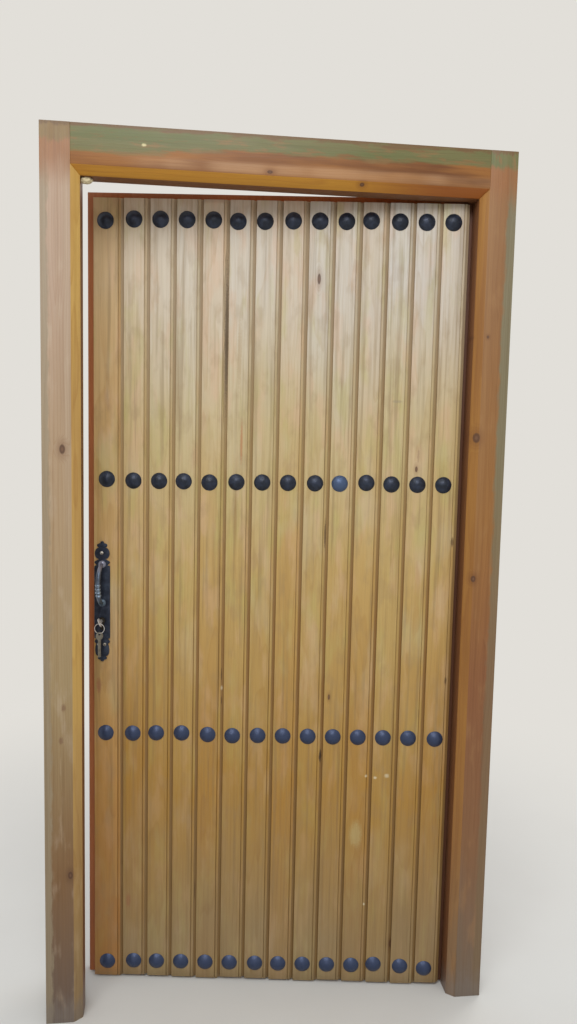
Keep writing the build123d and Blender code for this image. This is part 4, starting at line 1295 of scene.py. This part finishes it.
class DOOR_OT_nails(bpy.types.Operator):
    """Drive the domed nails"""

    bl_idname = "door.nails"
    bl_label = "Nails"

    def execute(self, context):
        tints = colours()
        slate = [((0.1682, 1.3583), 0.03, 0.03, srgb(74, 92, 124), 0.9)]
        # Low down the nails turn bluer and paler: a painted sky reflection, with some dust
        iron = iron_material(
            "nail_blackened_iron",
            tints.iron,
            srgb(46, 54, 72),
            0.26,
            0.45,
            dust_and_reflection=srgb(56, 68, 98),
            painted=slate,
        )
        places = []
        for points in islands("nails"):
            shut = [closed @ point for point in points]
            low, high = corners(shut)
            centre = (low + high) / 2
            centre.y = max(point.y for point in shut if point.y < behind_board_face)
            places.append(opened @ centre)
        if len(places) != nail_count:
            raise RuntimeError(f"expected {nail_count} nails, found {len(places)}")
        piece = grow_nails(places, iron)
        finish_piece(piece, "leaf", "nail_iron", "nails")
        return {"FINISHED"}


class DOOR_OT_hinges(bpy.types.Operator):
    """Dress the butt hinges"""

    bl_idname = "door.hinges"
    bl_label = "Hinges"

    def execute(self, context):
        steel = bright_material("hinge_worn_steel", srgb(150, 148, 144), srgb(96, 88, 80), 0.34)
        for node in slot_members["hinge_steel"]:
            dressed(node, steel, sizes().metal_arris)
        return {"FINISHED"}


class DOOR_OT_screws(bpy.types.Operator):
    """Drive the slotted screws"""

    bl_idname = "door.screws"
    bl_label = "Screws"

    def execute(self, context):
        steel = bright_material("screw_bright_steel", colours().steel, srgb(120, 112, 102), 0.28)
        leaf_x = opened.to_3x3() @ Vector((1, 0, 0))
        # A head's rise, its rim and its countersink, its radius, and the shank's length
        sunk = (0.0, 0.0, 0.002, 0.004, 0.024)
        raised = (0.0022, 0.0003, 0.0, 0.0045, 0.017)
        raised_head_depth = 0.0026
        rows = (
            ("hinge_frame_screws", "frame", Vector((-1, 0, 0)), sunk),
            ("hinge_leaf_screws", "leaf", leaf_x, sunk),
            ("strike_screws", "frame", Vector((1, 0, 0)), sunk),
            ("faceplate_screws", "leaf", -leaf_x, sunk),
            ("outer_plate_screws", "leaf", outwards, raised),
            ("inner_plate_screws", "leaf", -outwards, raised),
        )
        for node, body, facing, form in rows:
            drop = raised_head_depth if form is raised else 0.0
            places = []
            for points in islands(node):
                reach = max(point.dot(facing) for point in points)
                low, high = corners(points)
                middle = (low + high) / 2
                places.append(middle + facing * (reach - drop - middle.dot(facing)))
            piece = grow_screws(node + "_slotted", places, facing, form, steel)
            finish_piece(piece, body, "screw_steel", node)
        return {"FINISHED"}


class DOOR_OT_lock(bpy.types.Operator):
    """Dress the lock, its bolt and its strike"""

    bl_idname = "door.lock"
    bl_label = "Lock"

    def execute(self, context):
        steel = bright_material("lock_bright_steel", srgb(172, 168, 160), srgb(118, 110, 100), 0.3)
        # The barrel and plug are painted near black, the shade of the hollow at the keyhole
        brass_in_shade = bright_material(
            "barrel_brass_painted_shade", colours().brass_in_shade, srgb(44, 38, 34), 0.4, metal=0.6
        )
        for node in slot_members["lock_steel"]:
            dressed(node, steel, sizes().metal_arris)
        for node in ("lock_case", "barrel_screw"):
            repaint(node, steel)
        for node in ("barrel", "plug"):
            repaint(node, brass_in_shade)
        return {"FINISHED"}


class DOOR_OT_plates(bpy.types.Operator):
    """Dress the forged plates on both faces"""

    bl_idname = "door.plates"
    bl_label = "Plates and pulls"

    def execute(self, context):
        iron = iron_material("plate_forged_iron", srgb(44, 50, 64), srgb(64, 72, 88), 0.3, 0.7)
        for side, node in ((1, "outer_plate"), (-1, "inner_plate")):
            forge_plate(node, side, iron)
        for side, face in ((1, "outer"), (-1, "inner")):
            node = f"{face}_pull"
            plate_low, plate_high = corners(shut_points(f"{face}_plate"))
            front = plate_low.y if side > 0 else plate_high.y
            points = shut_points(node)
            low, high = corners(points)
            top = high.z - pull_end_inset
            bottom = low.z + pull_end_inset
            middle = sum(point.x for point in points) / len(points)
            reach = max((front - point.y) * side for point in points) - sizes().rib_radius
            path = []
            for step in range(65):
                angle = pi * (step / 64 - 0.5)
                height = (top + bottom) / 2 + (top - bottom) / 2 * sin(angle)
                path.append(opened @ Vector((middle, front - side * reach * cos(angle), height)))
            # The tops of the ribs and the bosses get pale blue-grey painted highlights
            lengths = [0.0]
            for first, second in zip(path, path[1:]):
                lengths.append(lengths[-1] + (second - first).length)
            worn = [((middle, top), 0.014, 0.014, srgb(150, 146, 160), 0.7)]
            worn.append(((middle, bottom), 0.012, 0.012, srgb(92, 108, 118), 0.7))
            count = sizes().rib_count
            for rib in range(count):
                along = lengths[-1] / 2 - (rib - (count - 1) / 2) * rib_pitch - rib_drop
                nearest = min(range(len(path)), key=lambda step: abs(lengths[step] - along))
                worn.append(((middle, path[nearest].z), 0.02, 0.0036, srgb(150, 168, 188), 0.8))
            # The pull's iron is painted paler and bluer than the plate's, a painted sheen
            highlit_iron = iron_material(
                node + "_painted_highlight_iron",
                srgb(78, 88, 104),
                srgb(112, 124, 142),
                0.24,
                0.7,
                painted=worn,
            )
            piece = grow_pull(node + "_bar", path, outwards * side, highlit_iron)
            finish_piece(piece, "leaf", "plate_iron", node)
        return {"FINISHED"}


class DOOR_OT_keys(bpy.types.Operator):
    """Dress the keys and their ring"""

    bl_idname = "door.keys"
    bl_label = "Keys"

    def execute(self, context):
        steel = bright_material(
            "key_pale_steel", srgb(226, 222, 218), srgb(186, 176, 166), 0.2, metal=0.5
        )
        dull = bright_material(
            "spare_key_dull_steel", srgb(134, 130, 118), srgb(112, 104, 92), 0.34, metal=0.6
        )
        dressed("key", steel, sizes().key_arris)
        dressed("spare_key", dull, sizes().key_arris)
        low, high = corners([vertex.co for vertex in frame["nodes"]["key_ring"].data.vertices])
        wire = 0.0009
        radius = (high.z - low.z) / 2 - wire
        ring = torus("key_ring_wire", (low + high) / 2, outwards, radius, wire, steel)
        finish_piece(ring, "key_ring", "key_steel", "key_ring")
        return {"FINISHED"}


class DOOR_OT_filler(bpy.types.Operator):
    """Press a small lump of filler into the corner of the stops"""

    bl_idname = "door.filler"
    bl_label = "Filler"

    def execute(self, context):
        centre = Vector((-0.4615, 0.0305, 2.0548))
        radii = Vector((0.0145, 0.0095, 0.0085))
        jamb_side, head_side = -0.4741, 2.0611
        mesh = bmesh.new()
        bmesh.ops.create_icosphere(mesh, subdivisions=4, radius=1)
        for vertex in mesh.verts:
            rough = 1 + 0.22 * noise.noise(vertex.co * 2.1) + 0.08 * noise.noise(vertex.co * 6.3)
            place = centre + vertex.co * rough * radii
            vertex.co = (max(place.x, jamb_side), place.y, min(place.z, head_side))
        piece = new_piece("filler_lump", mesh, filler_material(), smooth=60)
        finish_piece(piece, "frame", "frame_pine_head")
        return {"FINISHED"}


class DOOR_OT_stage(bpy.types.Operator):
    """Set the floor, the lights and the camera"""

    bl_idname = "door.stage"
    bl_label = "Stage"

    def execute(self, context):
        scene = bpy.context.scene
        scene.view_settings.view_transform = "Standard"
        pale = srgb(226, 223, 217)
        floor = Finish("pale_floor")
        cloud = floor.noise(floor.point, scale=3, detail=4)
        floor.set("Base Color", floor.blend(cloud, srgb(206, 203, 197), srgb(214, 212, 206)))
        floor.set("Roughness", floor.math("MULTIPLY_ADD", cloud, 0.1, 0.75))
        # Far from the door the floor shows the backdrop's own tone
        near, far = 0.7, 2.6
        away = floor.rise(floor.distance(*floor.split(floor.point)[:2]), near, far)
        glow = floor.add("ShaderNodeEmission")
        glow.inputs["Color"].default_value = (*pale, 1)
        output = next(n for n in floor.tree.nodes if n.type == "OUTPUT_MATERIAL")
        share = floor.times(away, looked_at(floor.tree))
        mix_shaders(floor.tree, share, floor.shader, glow, output)
        mesh = bmesh.new()
        bmesh.ops.create_grid(mesh, x_segments=24, y_segments=24, size=30)
        piece = new_piece("floor", mesh, floor.material)

        world = bpy.data.worlds.new("studio")
        scene.world = world
        world.use_nodes = True
        tree = world.node_tree
        tree.nodes.clear()
        ambient = tree.nodes.new("ShaderNodeBackground")
        ambient.inputs["Color"].default_value = (0.93, 0.96, 1.0, 1)
        ambient.inputs["Strength"].default_value = 0.7
        backdrop = tree.nodes.new("ShaderNodeBackground")
        backdrop.inputs["Color"].default_value = (*pale, 1)
        output = tree.nodes.new("ShaderNodeOutputWorld")
        mix_shaders(tree, looked_at(tree), ambient, backdrop, output)

        def lamp(name, place, target, power, size, tint):
            data = bpy.data.lights.new(name, "AREA")
            data.shape = "RECTANGLE"
            data.size, data.size_y = size
            data.energy = power
            data.color = tint
            light = bpy.data.objects.new(name, data)
            light.location = place
            aim = (Vector(target) - Vector(place)).to_track_quat("-Z", "Y")
            light.rotation_euler = aim.to_euler()
            scene.collection.objects.link(light)

        lamp("sky", (-0.9, -3.2, 4.3), (0.05, 0.0, 1.0), 125, (3.4, 2.2), (0.96, 0.98, 1.0))
        lamp("fill", (3.2, 2.8, 2.6), (0, 0, 1.0), 60, (2.4, 2.4), (1.0, 0.98, 0.95))

        # The camera as it was solved from the photograph, its focal length in pixels
        place = (-0.215, -1.925, 1.482)
        focal_length, longer_side = 800.2, 1024
        yaw, pitch, roll = radians(6.99), radians(5.55), radians(-1.23)
        ahead = Vector((sin(yaw) * cos(pitch), cos(yaw) * cos(pitch), -sin(pitch)))
        level = Vector((cos(yaw), -sin(yaw), 0))
        below = ahead.cross(level)
        right = cos(roll) * level + sin(roll) * below
        down = -sin(roll) * level + cos(roll) * below
        data = bpy.data.cameras.new("camera")
        data.sensor_width = 36
        data.sensor_fit = "AUTO"
        data.lens = data.sensor_width * focal_length / longer_side
        camera = bpy.data.objects.new("camera", data)
        axes = Matrix((right, -down, -ahead)).transposed().to_4x4()
        camera.matrix_world = Matrix.Translation(place) @ axes
        scene.collection.objects.link(camera)
        scene.camera = camera
        return {"FINISHED"}


operators = (
    DOOR_OT_frame_timber,
    DOOR_OT_backing,
    DOOR_OT_boards,
    DOOR_OT_nails,
    DOOR_OT_hinges,
    DOOR_OT_screws,
    DOOR_OT_lock,
    DOOR_OT_plates,
    DOOR_OT_keys,
    DOOR_OT_filler,
    DOOR_OT_stage,
)


class DOOR_PT_panel(bpy.types.Panel):
    """The door's pieces, sizes and colours"""

    bl_label = "Plank door"
    bl_idname = "DOOR_PT_panel"
    bl_space_type = "VIEW_3D"
    bl_region_type = "UI"
    bl_category = "Door"

    def draw(self, context):
        column = self.layout.column()
        for operator in operators:
            column.operator(operator.bl_idname)
        for group in (context.scene.door_sizes, context.scene.door_colours):
            for name in group.__annotations__:
                column.prop(group, name)


classes = (DoorSizes, DoorColours, *operators, DOOR_PT_panel)


def register():
    for item in classes:
        bpy.utils.register_class(item)
    bpy.types.Scene.door_sizes = PointerProperty(type=DoorSizes)
    bpy.types.Scene.door_colours = PointerProperty(type=DoorColours)


def unregister():
    del bpy.types.Scene.door_colours
    del bpy.types.Scene.door_sizes
    for item in reversed(classes):
        bpy.utils.unregister_class(item)


def main():
    register()
    for operator in operators:
        group, name = operator.bl_idname.split(".")
        getattr(getattr(bpy.ops, group), name)()


if __name__ == "__main__":
    main()
